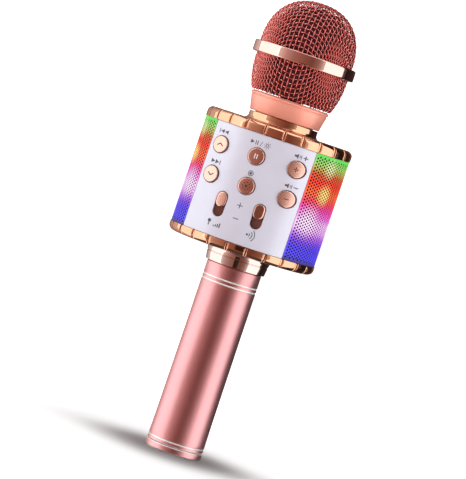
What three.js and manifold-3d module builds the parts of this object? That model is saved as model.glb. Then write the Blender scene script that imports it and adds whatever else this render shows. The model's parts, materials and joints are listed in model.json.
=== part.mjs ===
// Handheld karaoke microphone: a wire-mesh head over a drum-shaped speaker box with a button
// panel, on a slim handle that holds the battery.
// Millimetres. The origin is the centre of the handle's flat foot, +Z runs up the handle towards
// the head, the button panel faces -Y, and +X is to the right of someone facing that panel.
import * as THREE from "three";
import { mergeVertices } from "three/addons/utils/BufferGeometryUtils.js";
import Module from "manifold-3d";

const wasm = await Module();
wasm.setup();

// ---- Driving dimensions ----
const GAP = 0.3; // clearance between neighbouring pieces
const ROUND = 32; // facets round a turned piece
const INNER_ROUND = 20; // facets round a turned piece that stays out of sight
const ARC = 8; // curve divisions of a drum wall piece
const SMALL_ROUND = 14; // facets round a small cylinder
const OUTSIDE = 45; // reaches past the drum, for what is cut or trimmed along a straight line
const LAP = 0.2; // how far the parts of one piece run into each other
const SLICE = 10; // half the height of the drum slices that trim buttons and knobs

const HANDLE = { bottomR: 15.3, topR: 14.9, innerR: 13.7, seam: 4.15, top: 103.3 };
const GROOVE = { depth: 0.4, halfWidth: 0.4, pitch: 2.25, lower: 6.4, upper: 93.6 };
const CAP = { chamfer: 1.0, floor: 3, plugR: 13.4, plugInnerR: 12.2, plugTop: 9 };
const NIPPLE = { bottom: 88, r: 13.3, innerR: 11.5 };
const COLLAR = { bottomR: 16.2, topR: 17.1, taperTop: 110, flareR: 18.6, top: 111.9 };

const BOX = { bottom: 116.9, top: 174.8, r: 39.7, wall: 1.8, panelHalfAngle: 43.7 };
const BEZEL = { r: 40, innerR: 36.9, edge: 3, bottom: 112, top: 180.5, plate: 2.3, notches: 24 };
const NOTCH = { r: 1.15, centreR: 40.35 };
const GRILLE = { wall: 0.8, halfAngle: 46.0 };
const DIFFUSER = { r: 38.4, innerR: 37.6, halfAngle: 45.5, openingR: 15.5 };
const CHASSIS = { r: 36.5, disc: 2, holeR: 11, baffleX: 30.5, baffleHalfY: 18.2, baffle: 2 };
const CHASSIS_BOTTOM = BEZEL.bottom + BEZEL.plate + GAP;
const CHASSIS_TOP = BEZEL.top - BEZEL.plate - GAP;

const SPEAKER = { r: 18, boreR: 16.8, z: 145.85, face: 32.6, coneR: 15.2, magnetR: 10.5, depth: 18 };
const LED = { count: 8, boardR: 34.2, board: 1, width: 4, size: 2.8, height: 1.3, angle: 39 };

const BUTTON = { r: 4.3, faceR: 40.9, back: -26.2, flangeR: 5.1, flange: 0.8, holeGap: 0.35 };
const BUTTON_COLUMN = 21; // sideways pitch of the three button columns
const BUTTON_ROWS = { upper: 163, lower: 147 };
const SLIDER = { x: 10.4, z: 134, width: 6, length: 13.5, travel: 4.8, faceR: 40.5 };
const KNOB = { width: 5.4, length: 8.0, skirtHalfWidth: 4, skirtFront: -35, skirt: 0.8 };
const BOARD = { halfWidth: 24.6, thick: 1.5, front: -21.5, rear: 22 };
const TACT = { size: 6, height: 3.3, plungerR: 1.7, plunger: 0.6 };
const POT = { halfWidth: 3.5, length: 25, height: 6 };

const PORT_Z = 128;
const PORT_X = 14;
const USB = { width: 7.5, height: 2.7, end: 35.3, wall: 0.35, depth: 6 };
const JACK = { body: 8, bodyEnd: 33, bushR: 3, bushEnd: 38.6, boreR: 1.8, depth: 14 };
const CARD = { width: 14, height: 3, end: 31.2, slotWidth: 11.4, slotHeight: 1.4, depth: 8 };
const POWER = { z: 160, halfTravel: 1.5, knobWidth: 4.6, knobHeight: 3.4, faceR: 40.6 };
const POWER_BODY = { halfX: 6.5, halfZ: 3, end: 30, slotHalfX: 4, slotHalfZ: 1 };
const POWER_SKIRT = { halfX: 6.4, face: 35.2, thick: 0.8, stemHalfX: 1.2 };

const FLANGE = { filletR: 20.4, r: 18.9, top: 184.9, boreR: 13.4, nippleR: 16, nippleTop: 192 };
const HEAD_COLLAR = { bottom: 185.2, top: 195.7, bottomR: 19.2, topR: 21.3, boreR: 16.4 };
const BASKET = { bottom: 196, top: 214.8, topR: 25.4, draw: 3.6 };
const BAND = { bottom: 215.1, top: 221.2, r: 27.8, chamfer: 1.5, innerR: 23.8 };
const DOME = { bottom: 221.5, r: 25.7, height: 28.2, power: 2.3 };
const MESH_WALL = 1.2;
const FOAM = { r: 23.4, wall: 5, clearance: 1.6, bottom: 196.3 };
const CAPSULE = { r: 11.3, bottom: 214.2, top: 229.7 };
const CUP = { r: 12.6, floor: 1, depth: 8, stemR: 6, stemTop: 208, stemFoot: 191 };
const CUP_FOOT = { bottom: 183, top: 189 };

const CELL = { r: 9.15, bottom: 14.5, length: 65, nubR: 3, nub: 1.2 };
const HOLDER = { r: 12.9, innerR: 9.6, bottom: 13, top: 85 };
const HOLDER_WINDOW = { halfX: 11, back: -3, bottom: 22, top: 72 };
const SPRING = { r: 5, wireR: 0.5, turns: 4, bottom: 4, top: 13.9 };

// ---- Colours and finishes ----
const FINISH = {
  roseAnodised: { color: 0xc07078, roughness: 0.36, metalness: 0.9 },
  roseMesh: { color: 0xc98078, roughness: 0.32, metalness: 0.95 },
  copperPlate: { color: 0xc98a66, roughness: 0.2, metalness: 0.95 },
  champagne: { color: 0xd9bba6, roughness: 0.18, metalness: 0.95 },
  silverPaint: { color: 0xd6d5df, roughness: 0.35, metalness: 0.3 },
  grilleMetal: { color: 0x9a9aa2, roughness: 0.4, metalness: 0.8 },
  opal: { color: 0xf1effa, roughness: 0.5, metalness: 0.0 },
  blackPlastic: { color: 0x1c1c1f, roughness: 0.55, metalness: 0.0 },
  whitePlastic: { color: 0xe9e6e0, roughness: 0.5, metalness: 0.0 },
  foam: { color: 0x2a1416, roughness: 0.95, metalness: 0.0 },
  circuitBoard: { color: 0x1d5a34, roughness: 0.5, metalness: 0.0 },
  steel: { color: 0xb8babd, roughness: 0.3, metalness: 0.95 },
  paperCone: { color: 0x2b2b2e, roughness: 0.8, metalness: 0.0 },
  rubber: { color: 0x26262a, roughness: 0.8, metalness: 0.0 },
  cellWrap: { color: 0x2f6fb0, roughness: 0.35, metalness: 0.0 },
};

// ---- Solids: joining and cutting closed meshes ----
const MERGE_DISTANCE = 1e-4;

function solidOf(geometry) {
  const bare = geometry.clone();
  bare.deleteAttribute("normal");
  bare.deleteAttribute("uv");
  const merged = mergeVertices(bare, MERGE_DISTANCE);
  const mesh = new wasm.Mesh({
    numProp: 3,
    vertProperties: merged.attributes.position.array,
    triVerts: new Uint32Array(merged.index.array),
  });
  return new wasm.Manifold(mesh);
}

function geometryOf(solid) {
  const { vertProperties, triVerts } = solid.getMesh();
  const geometry = new THREE.BufferGeometry();
  geometry.setAttribute("position", new THREE.BufferAttribute(vertProperties, 3));
  geometry.setIndex(new THREE.BufferAttribute(triVerts, 1));
  geometry.computeVertexNormals();
  return geometry;
}

function join(first, ...others) {
  return geometryOf(others.reduce((sum, other) => sum.add(solidOf(other)), solidOf(first)));
}

function cut(body, ...tools) {
  return geometryOf(tools.reduce((left, tool) => left.subtract(solidOf(tool)), solidOf(body)));
}

function common(first, second) {
  return geometryOf(solidOf(first).intersect(solidOf(second)));
}

// ---- Basic shapes, built where they belong ----

// A piece turned about Z from an outline of [radius, height] points. The outline either starts
// and ends on the axis or closes on itself.
function turned(outline, facets = ROUND) {
  const doubledArea = outline.reduce((sum, [r, z], i) => {
    const [nextR, nextZ] = outline[(i + 1) % outline.length];
    return sum + r * nextZ - nextR * z;
  }, 0);
  const path = doubledArea > 0 ? [...outline] : [...outline].reverse();
  if (path.every(([r]) => r > 0)) {
    path.push(path[0]);
  } else {
    const start = path.findIndex(([r], i) => r === 0 && path[(i + 1) % path.length][0] > 0);
    path.push(...path.splice(0, start));
  }
  const points = path.map(([r, z]) => new THREE.Vector2(r, z));
  return new THREE.LatheGeometry(points, facets).rotateX(Math.PI / 2);
}

function block(x0, x1, y0, y1, z0, z1) {
  const shape = new THREE.BoxGeometry(x1 - x0, y1 - y0, z1 - z0);
  return shape.translate((x0 + x1) / 2, (y0 + y1) / 2, (z0 + z1) / 2);
}

function rodAlongY(r, y0, y1, x, z, facets = SMALL_ROUND) {
  return new THREE.CylinderGeometry(r, r, y1 - y0, facets).translate(x, (y0 + y1) / 2, z);
}

function rodAlongZ(r, z0, z1, x, y, facets = SMALL_ROUND) {
  const rod = new THREE.CylinderGeometry(r, r, z1 - z0, facets).rotateX(Math.PI / 2);
  return rod.translate(x, y, (z0 + z1) / 2);
}

// An upright wall piece of the drum: part of a ring, centred on an angle counted from +X.
function drumWall(outerR, innerR, centreDeg, halfDeg, z0, z1, divisions = ARC) {
  const from = THREE.MathUtils.degToRad(centreDeg - halfDeg);
  const to = THREE.MathUtils.degToRad(centreDeg + halfDeg);
  const plan = new THREE.Shape();
  plan.absarc(0, 0, outerR, from, to, false);
  plan.absarc(0, 0, innerR, to, from, true);
  plan.closePath();
  const wall = new THREE.ExtrudeGeometry(plan, {
    depth: z1 - z0,
    bevelEnabled: false,
    curveSegments: divisions,
  });
  return wall.translate(0, 0, z0);
}

// A prism along Y whose section is a slot with round ends, standing upright.
function uprightSlot(width, length, x, z, y0, y1) {
  const r = width / 2;
  const straight = length / 2 - r;
  const section = new THREE.Shape();
  section.absarc(x, z + straight, r, 0, Math.PI, false);
  section.absarc(x, z - straight, r, Math.PI, 2 * Math.PI, false);
  section.closePath();
  const prism = new THREE.ExtrudeGeometry(section, {
    depth: y1 - y0,
    bevelEnabled: false,
    curveSegments: 5,
  });
  return prism.rotateX(Math.PI / 2).translate(0, y1, 0);
}

// A full drum, which gives buttons and knobs their curved faces.
function drum(r, z0, z1) {
  return rodAlongZ(r, z0, z1, 0, 0, 90);
}

const drumSurfaceY = (r, x) => Math.sqrt(r * r - x * x);

function part(name, geometry, finish) {
  const mesh = new THREE.Mesh(geometry, new THREE.MeshStandardMaterial(finish));
  mesh.name = name;
  return mesh;
}

// ---- Head ----

// Points of the dome's outline from its foot to its crown: a superellipse, fuller than a sphere.
function domeOutline(r, height, foot, steps) {
  const exponent = 2 / DOME.power;
  return Array.from({ length: steps + 1 }, (_, i) => {
    const angle = (i / steps) * (Math.PI / 2);
    const radius = i === steps ? 0 : r * Math.cos(angle) ** exponent;
    return [radius, foot + height * Math.sin(angle) ** exponent];
  });
}

// Points of the basket's outline from its foot to its rim, drawn in towards the foot.
function basketOutline(inset, foot, steps) {
  return Array.from({ length: steps + 1 }, (_, i) => {
    const z = foot + ((BASKET.top - foot) * i) / steps;
    const t = (z - BASKET.bottom) / (BASKET.top - BASKET.bottom);
    return [BASKET.topR - BASKET.draw * (1 - t) ** 2 - inset, z];
  });
}

function grilleDome() {
  const steps = 7;
  const outer = domeOutline(DOME.r, DOME.height, DOME.bottom, steps);
  const inner = domeOutline(DOME.r - MESH_WALL, DOME.height - MESH_WALL, DOME.bottom, steps);
  return turned([...outer, ...inner.reverse()]);
}

function grilleBand() {
  const shoulderR = BAND.r - BAND.chamfer;
  return turned([
    [BAND.innerR, BAND.bottom],
    [shoulderR, BAND.bottom],
    [BAND.r, BAND.bottom + BAND.chamfer],
    [BAND.r, BAND.top - BAND.chamfer],
    [shoulderR, BAND.top],
    [BAND.innerR, BAND.top],
  ]);
}

function grilleBasket() {
  const outer = basketOutline(0, BASKET.bottom, 4);
  const inner = basketOutline(MESH_WALL, BASKET.bottom, 4);
  return turned([...outer, ...inner.reverse()]);
}

function grilleCollar() {
  const lip = 0.5;
  return turned([
    [HEAD_COLLAR.boreR, HEAD_COLLAR.bottom],
    [HEAD_COLLAR.bottomR - GAP, HEAD_COLLAR.bottom],
    [HEAD_COLLAR.bottomR, HEAD_COLLAR.bottom + lip],
    [HEAD_COLLAR.topR, HEAD_COLLAR.top - 2 * lip],
    [HEAD_COLLAR.topR - lip, HEAD_COLLAR.top],
    [HEAD_COLLAR.boreR, HEAD_COLLAR.top],
  ]);
}

function windscreenFoam() {
  const steps = 6;
  const crown = DOME.height - FOAM.clearance;
  const side = basketOutline(FOAM.clearance, FOAM.bottom, 2).map(([r, z]) => [Math.min(r, FOAM.r), z]);
  const outer = [...side, ...domeOutline(FOAM.r, crown, BAND.top, steps)];
  const innerSide = side.map(([r, z]) => [r - FOAM.wall, z]);
  const innerDome = domeOutline(FOAM.r - FOAM.wall, crown - FOAM.wall, BAND.top, steps);
  return turned([...outer, ...[...innerSide, ...innerDome].reverse()], INNER_ROUND);
}

// The capsule's cup stands on a stem, whose foot sits in the neck's bore.
function capsuleMount() {
  const footR = FLANGE.boreR - GAP;
  const cupFloor = CAPSULE.bottom - 0.2;
  return turned(
    [
      [0, CUP_FOOT.bottom],
      [footR, CUP_FOOT.bottom],
      [footR, CUP_FOOT.top],
      [CUP.stemR, CUP.stemFoot],
      [CUP.stemR, CUP.stemTop],
      [CUP.r, cupFloor - CUP.floor],
      [CUP.r, cupFloor + CUP.depth],
      [CAPSULE.r + GAP, cupFloor + CUP.depth],
      [CAPSULE.r + GAP, cupFloor],
      [0, cupFloor],
    ],
    INNER_ROUND,
  );
}

function micCapsule() {
  const edge = 1;
  return turned(
    [
      [0, CAPSULE.bottom],
      [CAPSULE.r, CAPSULE.bottom],
      [CAPSULE.r, CAPSULE.top - edge],
      [CAPSULE.r - edge, CAPSULE.top],
      [0, CAPSULE.top],
    ],
    INNER_ROUND,
  );
}

// The flange on the box's top, with the threaded nipple that the head's collar screws on to.
function neckFlange() {
  const foot = BEZEL.top + 0.1;
  return turned([
    [FLANGE.boreR, foot],
    [FLANGE.filletR, foot],
    [FLANGE.filletR - 0.9, foot + 0.5],
    [FLANGE.r, foot + 1.6],
    [FLANGE.r, FLANGE.top - 0.3],
    [FLANGE.r - 0.3, FLANGE.top],
    [FLANGE.nippleR, FLANGE.top],
    [FLANGE.nippleR, FLANGE.nippleTop],
    [FLANGE.boreR, FLANGE.nippleTop],
  ]);
}

// ---- Speaker box ----

// One end ring of the drum, with its plate. rimFace is the end that meets the drum's walls and
// plateFace the far end, so the top ring and the bottom ring mirror each other.
function bezel(plateFace, rimFace, holeR) {
  const outward = Math.sign(plateFace - rimFace);
  const steps = 2;
  const roundedEdge = Array.from({ length: steps + 1 }, (_, i) => {
    const angle = (i / steps) * (Math.PI / 2);
    const centreR = BEZEL.r - BEZEL.edge;
    const centreZ = plateFace - outward * BEZEL.edge;
    return [
      centreR + BEZEL.edge * Math.cos(angle),
      centreZ + outward * BEZEL.edge * Math.sin(angle),
    ];
  });
  const ring = turned(
    [
      [BEZEL.innerR, rimFace],
      [BEZEL.r, rimFace],
      ...roundedEdge,
      [holeR, plateFace],
      [holeR, plateFace - outward * BEZEL.plate],
      [BEZEL.innerR, plateFace - outward * BEZEL.plate],
    ],
    2 * BEZEL.notches,
  );
  const low = Math.min(plateFace, rimFace) - 1;
  const high = Math.max(plateFace, rimFace) + 1;
  const notches = Array.from({ length: BEZEL.notches }, (_, i) => {
    const notch = rodAlongZ(NOTCH.r, low, high, NOTCH.centreR, 0, 6);
    return notch.rotateZ(((i / BEZEL.notches) * 2 + 0.5) * Math.PI);
  });
  return cut(ring, ...notches);
}

const BUTTON_PLACES = [
  { name: "previous_button", x: -BUTTON_COLUMN, z: BUTTON_ROWS.upper },
  { name: "play_button", x: 0, z: BUTTON_ROWS.upper },
  { name: "volume_up_button", x: BUTTON_COLUMN, z: BUTTON_ROWS.upper },
  { name: "next_button", x: -BUTTON_COLUMN, z: BUTTON_ROWS.lower },
  { name: "record_button", x: 0, z: BUTTON_ROWS.lower },
  { name: "volume_down_button", x: BUTTON_COLUMN, z: BUTTON_ROWS.lower },
];

const WALL_BOTTOM = BOX.bottom + 0.1;
const WALL_TOP = BOX.top - 0.1;
const PANEL_INNER_R = BOX.r - BOX.wall;

function frontPanel() {
  const wall = drumWall(BOX.r, PANEL_INNER_R, -90, BOX.panelHalfAngle, WALL_BOTTOM, WALL_TOP);
  const holes = BUTTON_PLACES.map(({ x, z }) =>
    rodAlongY(BUTTON.r + BUTTON.holeGap, -OUTSIDE, BOARD.front, x, z),
  );
  const slots = [-SLIDER.x, SLIDER.x].map((x) =>
    uprightSlot(SLIDER.width, SLIDER.length, x, SLIDER.z, -OUTSIDE, KNOB.skirtFront),
  );
  return cut(wall, ...holes, ...slots);
}

function rearPanel() {
  const wall = drumWall(BOX.r, PANEL_INNER_R, 90, BOX.panelHalfAngle, WALL_BOTTOM, WALL_TOP);
  const window = (x, z, width, height) =>
    block(
      x - width / 2 - GAP,
      x + width / 2 + GAP,
      BOARD.rear,
      OUTSIDE,
      z - height / 2 - GAP,
      z + height / 2 + GAP,
    );
  return cut(
    wall,
    window(-PORT_X, PORT_Z, USB.width, USB.height),
    window(PORT_X, PORT_Z, CARD.slotWidth, CARD.slotHeight),
    window(0, POWER.z, POWER.knobWidth + 2 * POWER.halfTravel, POWER.knobHeight),
    rodAlongY(JACK.bushR + GAP, BOARD.rear, OUTSIDE, 0, PORT_Z),
  );
}

function sideGrille(centreDeg) {
  const innerR = BOX.r - GRILLE.wall;
  return drumWall(BOX.r, innerR, centreDeg, GRILLE.halfAngle, WALL_BOTTOM, WALL_TOP);
}

function lightDiffuser(centreDeg) {
  const { r, innerR, halfAngle, openingR } = DIFFUSER;
  const sheet = drumWall(r, innerR, centreDeg, halfAngle, WALL_BOTTOM + GAP, WALL_TOP - GAP);
  const opening = rodAlongZ(openingR, innerR / 2, OUTSIDE, 0, 0, INNER_ROUND).rotateY(Math.PI / 2);
  return cut(sheet, opening.translate(0, 0, SPEAKER.z).rotateZ(centreDeg === 0 ? 0 : Math.PI));
}

// Two discs and two upright baffles, which carry the speakers and hold the boards on edge.
function chassis() {
  const half = CHASSIS.baffle / 2;
  const discs = [CHASSIS_BOTTOM, CHASSIS_TOP - CHASSIS.disc].map((z) =>
    turned([
      [CHASSIS.holeR, z],
      [CHASSIS.r, z],
      [CHASSIS.r, z + CHASSIS.disc],
      [CHASSIS.holeR, z + CHASSIS.disc],
    ]),
  );
  const baffles = [-CHASSIS.baffleX, CHASSIS.baffleX].map((x) =>
    block(
      x - half,
      x + half,
      -CHASSIS.baffleHalfY,
      CHASSIS.baffleHalfY,
      CHASSIS_BOTTOM,
      CHASSIS_TOP,
    ),
  );
  const speakerBore = rodAlongZ(SPEAKER.boreR, -OUTSIDE, OUTSIDE, 0, 0, INNER_ROUND).rotateY(Math.PI / 2);
  return cut(join(...discs, ...baffles), speakerBore.translate(0, 0, SPEAKER.z));
}

// Speaker pieces are turned about their own axis, with the face at 0 and the magnet below it.
function facingSideways(geometry, side) {
  const turnedOut = geometry.rotateY(Math.PI / 2).translate(SPEAKER.face, 0, SPEAKER.z);
  return side === "right" ? turnedOut : turnedOut.rotateZ(Math.PI);
}

function speakerBasket(side) {
  const profile = [
    [SPEAKER.r, 0],
    [SPEAKER.r, -0.9],
    [16.4, -0.9],
    [11.4, -9.2],
    [11.4, -10.4],
    [6.5, -10.4],
    [6.5, -9.4],
    [10.6, -9.4],
    [15.6, -0.6],
    [15.6, 0],
  ];
  return facingSideways(turned(profile, INNER_ROUND), side);
}

function speakerCone(side) {
  const profile = [
    [0, -2.8],
    [3.6, -3.6],
    [4.6, -5.4],
    [13, -1.4],
    [14.2, -0.5],
    [SPEAKER.coneR, -0.7],
    [SPEAKER.coneR, -1.2],
    [14, -1.1],
    [12.8, -2],
    [4.8, -6.2],
    [3.4, -4.2],
    [0, -3.5],
  ];
  return facingSideways(turned(profile, INNER_ROUND), side);
}

function speakerMagnet(side) {
  const profile = [
    [0, -10.7],
    [SPEAKER.magnetR, -10.7],
    [SPEAKER.magnetR, -SPEAKER.depth],
    [0, -SPEAKER.depth],
  ];
  return facingSideways(turned(profile, INNER_ROUND), side);
}

// A narrow board with a column of lights, facing outwards at an angle counted from +X.
function ledStrip(angleDeg) {
  const bottom = WALL_BOTTOM + 1;
  const top = WALL_TOP - 1;
  const face = LED.boardR + LED.board;
  const board = block(LED.boardR, face, -LED.width / 2, LED.width / 2, bottom, top);
  const pitch = (top - bottom) / LED.count;
  const lights = Array.from({ length: LED.count }, (_, i) => {
    const z = bottom + (i + 0.5) * pitch;
    const half = LED.size / 2;
    return block(face - LAP, face + LED.height, -half, half, z - half, z + half);
  });
  return join(board, ...lights).rotateZ(THREE.MathUtils.degToRad(angleDeg));
}

// ---- Controls ----

function board(y0, y1) {
  const bottom = CHASSIS_BOTTOM + CHASSIS.disc + GAP;
  const top = CHASSIS_TOP - CHASSIS.disc - GAP;
  return block(-BOARD.halfWidth, BOARD.halfWidth, y0, y1, bottom, top);
}

// A round cap whose face follows the drum, with a flange that keeps it behind the panel.
function button(x, z) {
  const shaft = rodAlongY(BUTTON.r, -OUTSIDE, BUTTON.back, x, z);
  const cap = common(shaft, drum(BUTTON.faceR, z - SLICE, z + SLICE));
  const flangeFront = -drumSurfaceY(PANEL_INNER_R, Math.abs(x) + BUTTON.flangeR) + GAP;
  const flange = rodAlongY(BUTTON.flangeR, flangeFront, flangeFront + BUTTON.flange, x, z);
  return join(cap, flange);
}

function tactSwitch(x, z) {
  const half = TACT.size / 2;
  const top = BOARD.front - TACT.height;
  const body = block(x - half, x + half, top, BOARD.front, z - half, z + half);
  return join(body, rodAlongY(TACT.plungerR, top - TACT.plunger, top + LAP, x, z, 12));
}

// An oval knob at the top of its slot, on a skirt that hides the slot wherever the knob stands.
function sliderKnob(x) {
  const { width, length, skirtHalfWidth, skirtFront, skirt } = KNOB;
  const z = SLIDER.z + SLIDER.length / 2 - length / 2 - GAP;
  const oval = common(
    uprightSlot(width, length, x, z, -OUTSIDE, skirtFront + LAP),
    drum(SLIDER.faceR, z - SLICE, z + SLICE),
  );
  const overlap = 0.6;
  const skirtPlate = block(
    x - skirtHalfWidth,
    x + skirtHalfWidth,
    skirtFront,
    skirtFront + skirt,
    SLIDER.z - SLIDER.length / 2 - overlap,
    SLIDER.z + SLIDER.length / 2 + SLIDER.travel + overlap,
  );
  const stemEnd = BOARD.front - POT.height - GAP;
  const stem = block(x - 1, x + 1, skirtFront + skirt - LAP, stemEnd, z - 1.5, z + 1.5);
  return join(oval, skirtPlate, stem);
}

function slidePot(x) {
  const top = BOARD.front - POT.height;
  const body = block(
    x - POT.halfWidth,
    x + POT.halfWidth,
    top,
    BOARD.front,
    SLIDER.z - POT.length / 2,
    SLIDER.z + POT.length / 2,
  );
  return cut(body, uprightSlot(1.6, POT.length - 5, x, SLIDER.z, top - 1, top + 2));
}

// ---- Rear ports and power switch ----

function usbSocket() {
  const { width, height, end, wall, depth } = USB;
  const shell = block(
    -PORT_X - width / 2,
    -PORT_X + width / 2,
    BOARD.rear,
    end,
    PORT_Z - height / 2,
    PORT_Z + height / 2,
  );
  const mouth = block(
    -PORT_X - width / 2 + wall,
    -PORT_X + width / 2 - wall,
    end - depth,
    end + 1,
    PORT_Z - height / 2 + wall,
    PORT_Z + height / 2 - wall,
  );
  const tongue = block(-PORT_X - 2, -PORT_X + 2, end - depth - 1, end - 1, PORT_Z, PORT_Z + 0.6);
  return join(cut(shell, mouth), tongue);
}

function auxJack() {
  const half = JACK.body / 2;
  const body = block(-half, half, BOARD.rear, JACK.bodyEnd, PORT_Z - half, PORT_Z + half);
  const bush = rodAlongY(JACK.bushR, JACK.bodyEnd - 1, JACK.bushEnd, 0, PORT_Z);
  const bore = rodAlongY(JACK.boreR, JACK.bushEnd - JACK.depth, JACK.bushEnd + 1, 0, PORT_Z);
  return cut(join(body, bush), bore);
}

function cardSlot() {
  const halfX = CARD.width / 2;
  const halfZ = CARD.height / 2;
  const halfSlotX = CARD.slotWidth / 2;
  const halfSlotZ = CARD.slotHeight / 2;
  return cut(
    block(PORT_X - halfX, PORT_X + halfX, BOARD.rear, CARD.end, PORT_Z - halfZ, PORT_Z + halfZ),
    block(
      PORT_X - halfSlotX,
      PORT_X + halfSlotX,
      CARD.end - CARD.depth,
      CARD.end + 1,
      PORT_Z - halfSlotZ,
      PORT_Z + halfSlotZ,
    ),
  );
}

function powerSwitchBody() {
  const { halfX, halfZ, end, slotHalfX, slotHalfZ } = POWER_BODY;
  const body = block(-halfX, halfX, BOARD.rear, end, POWER.z - halfZ, POWER.z + halfZ);
  const slot = block(-slotHalfX, slotHalfX, end - 1, end + 1, POWER.z - slotHalfZ, POWER.z + slotHalfZ);
  return cut(body, slot);
}

// Stands at the off end of its slot, which is its left end seen from the front of the panel.
function powerSwitchKnob() {
  const x = -POWER.halfTravel;
  const { knobWidth, knobHeight, faceR, z } = POWER;
  const { halfX, face, thick, stemHalfX } = POWER_SKIRT;
  const thumb = block(
    x - knobWidth / 2,
    x + knobWidth / 2,
    face - LAP,
    OUTSIDE,
    z - knobHeight / 2,
    z + knobHeight / 2,
  );
  const skirt = block(x - halfX, x + halfX, face - thick, face, z - POWER_BODY.halfZ, z + POWER_BODY.halfZ);
  const stemEnd = face - thick + LAP;
  const stem = block(x - stemHalfX, x + stemHalfX, POWER_BODY.end + GAP, stemEnd, z - 1, z + 1);
  return join(common(thumb, drum(faceR, z - SLICE, z + SLICE)), skirt, stem);
}

// ---- Handle ----

// A V groove cut round the handle, as outline points going up.
function grooveOutline(z, r) {
  return [
    [r, z - GROOVE.halfWidth],
    [r - GROOVE.depth, z],
    [r, z + GROOVE.halfWidth],
  ];
}

function handleRadiusAt(z) {
  const t = (z - HANDLE.seam) / (HANDLE.top - HANDLE.seam);
  return HANDLE.bottomR + (HANDLE.topR - HANDLE.bottomR) * t;
}

function handleTube() {
  const bottom = HANDLE.seam + GAP / 2;
  const grooves = [GROOVE.lower, GROOVE.upper, GROOVE.upper + GROOVE.pitch];
  return turned([
    [HANDLE.innerR, bottom],
    [HANDLE.bottomR - GROOVE.depth, bottom],
    [HANDLE.bottomR, bottom + GROOVE.halfWidth],
    ...grooves.flatMap((z) => grooveOutline(z, handleRadiusAt(z))),
    [HANDLE.topR, HANDLE.top - GAP],
    [HANDLE.topR - GAP, HANDLE.top],
    [HANDLE.innerR, HANDLE.top],
  ]);
}

function endCap() {
  const top = HANDLE.seam - GAP / 2;
  const r = HANDLE.bottomR;
  return turned([
    [0, 0],
    [r - CAP.chamfer, 0],
    [r - CAP.chamfer / 3, CAP.chamfer / 3],
    [r, CAP.chamfer],
    [r, top - GROOVE.halfWidth],
    [r - GROOVE.depth, top],
    [CAP.plugR, top],
    [CAP.plugR, CAP.plugTop],
    [CAP.plugInnerR, CAP.plugTop],
    [CAP.plugInnerR, CAP.floor],
    [0, CAP.floor],
  ]);
}

// The polished collar under the box, with the threaded nipple that the handle screws on to.
function neckCollar() {
  return turned([
    [NIPPLE.innerR, NIPPLE.bottom],
    [NIPPLE.r, NIPPLE.bottom],
    [NIPPLE.r, HANDLE.top + GAP],
    [COLLAR.bottomR - 0.4, HANDLE.top + GAP],
    [COLLAR.bottomR, HANDLE.top + 2 * GAP],
    [COLLAR.topR, COLLAR.taperTop],
    [COLLAR.topR + 0.5, COLLAR.taperTop + 1.2],
    [COLLAR.flareR, COLLAR.top],
    [NIPPLE.innerR, COLLAR.top],
  ]);
}

function batteryCell() {
  const top = CELL.bottom + CELL.length;
  return turned(
    [
      [0, CELL.bottom],
      [CELL.r, CELL.bottom],
      [CELL.r, top],
      [CELL.nubR, top],
      [CELL.nubR, top + CELL.nub],
      [0, top + CELL.nub],
    ],
    INNER_ROUND,
  );
}

function batteryHolder() {
  const tube = turned(
    [
      [HOLDER.innerR, HOLDER.bottom],
      [HOLDER.r, HOLDER.bottom],
      [HOLDER.r, HOLDER.top],
      [HOLDER.innerR, HOLDER.top],
    ],
    INNER_ROUND,
  );
  const { halfX, back, bottom, top } = HOLDER_WINDOW;
  return cut(tube, block(-halfX, halfX, -HOLDER.r - 1, back, bottom, top));
}

class Coil extends THREE.Curve {
  getPoint(t) {
    const angle = t * SPRING.turns * 2 * Math.PI;
    const z = SPRING.bottom + (SPRING.top - SPRING.bottom) * t;
    return new THREE.Vector3(SPRING.r * Math.cos(angle), SPRING.r * Math.sin(angle), z);
  }
}

function batterySpring() {
  const sides = 6;
  const corners = Array.from({ length: sides }, (_, i) => {
    const angle = (i / sides) * 2 * Math.PI;
    return new THREE.Vector2(SPRING.wireR * Math.cos(angle), SPRING.wireR * Math.sin(angle));
  });
  return new THREE.ExtrudeGeometry(new THREE.Shape(corners), {
    steps: SPRING.turns * 8,
    extrudePath: new Coil(),
    bevelEnabled: false,
  });
}

// ---- Assembly ----

const head = new THREE.Group();
head.add(
  part("grille_dome", grilleDome(), FINISH.roseMesh),
  part("grille_band", grilleBand(), FINISH.copperPlate),
  part("grille_basket", grilleBasket(), FINISH.roseMesh),
  part("grille_collar", grilleCollar(), FINISH.roseAnodised),
  part("windscreen_foam", windscreenFoam(), FINISH.foam),
  part("capsule_mount", capsuleMount(), FINISH.rubber),
  part("mic_capsule", micCapsule(), FINISH.steel),
  part("neck_flange", neckFlange(), FINISH.copperPlate),
);

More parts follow.
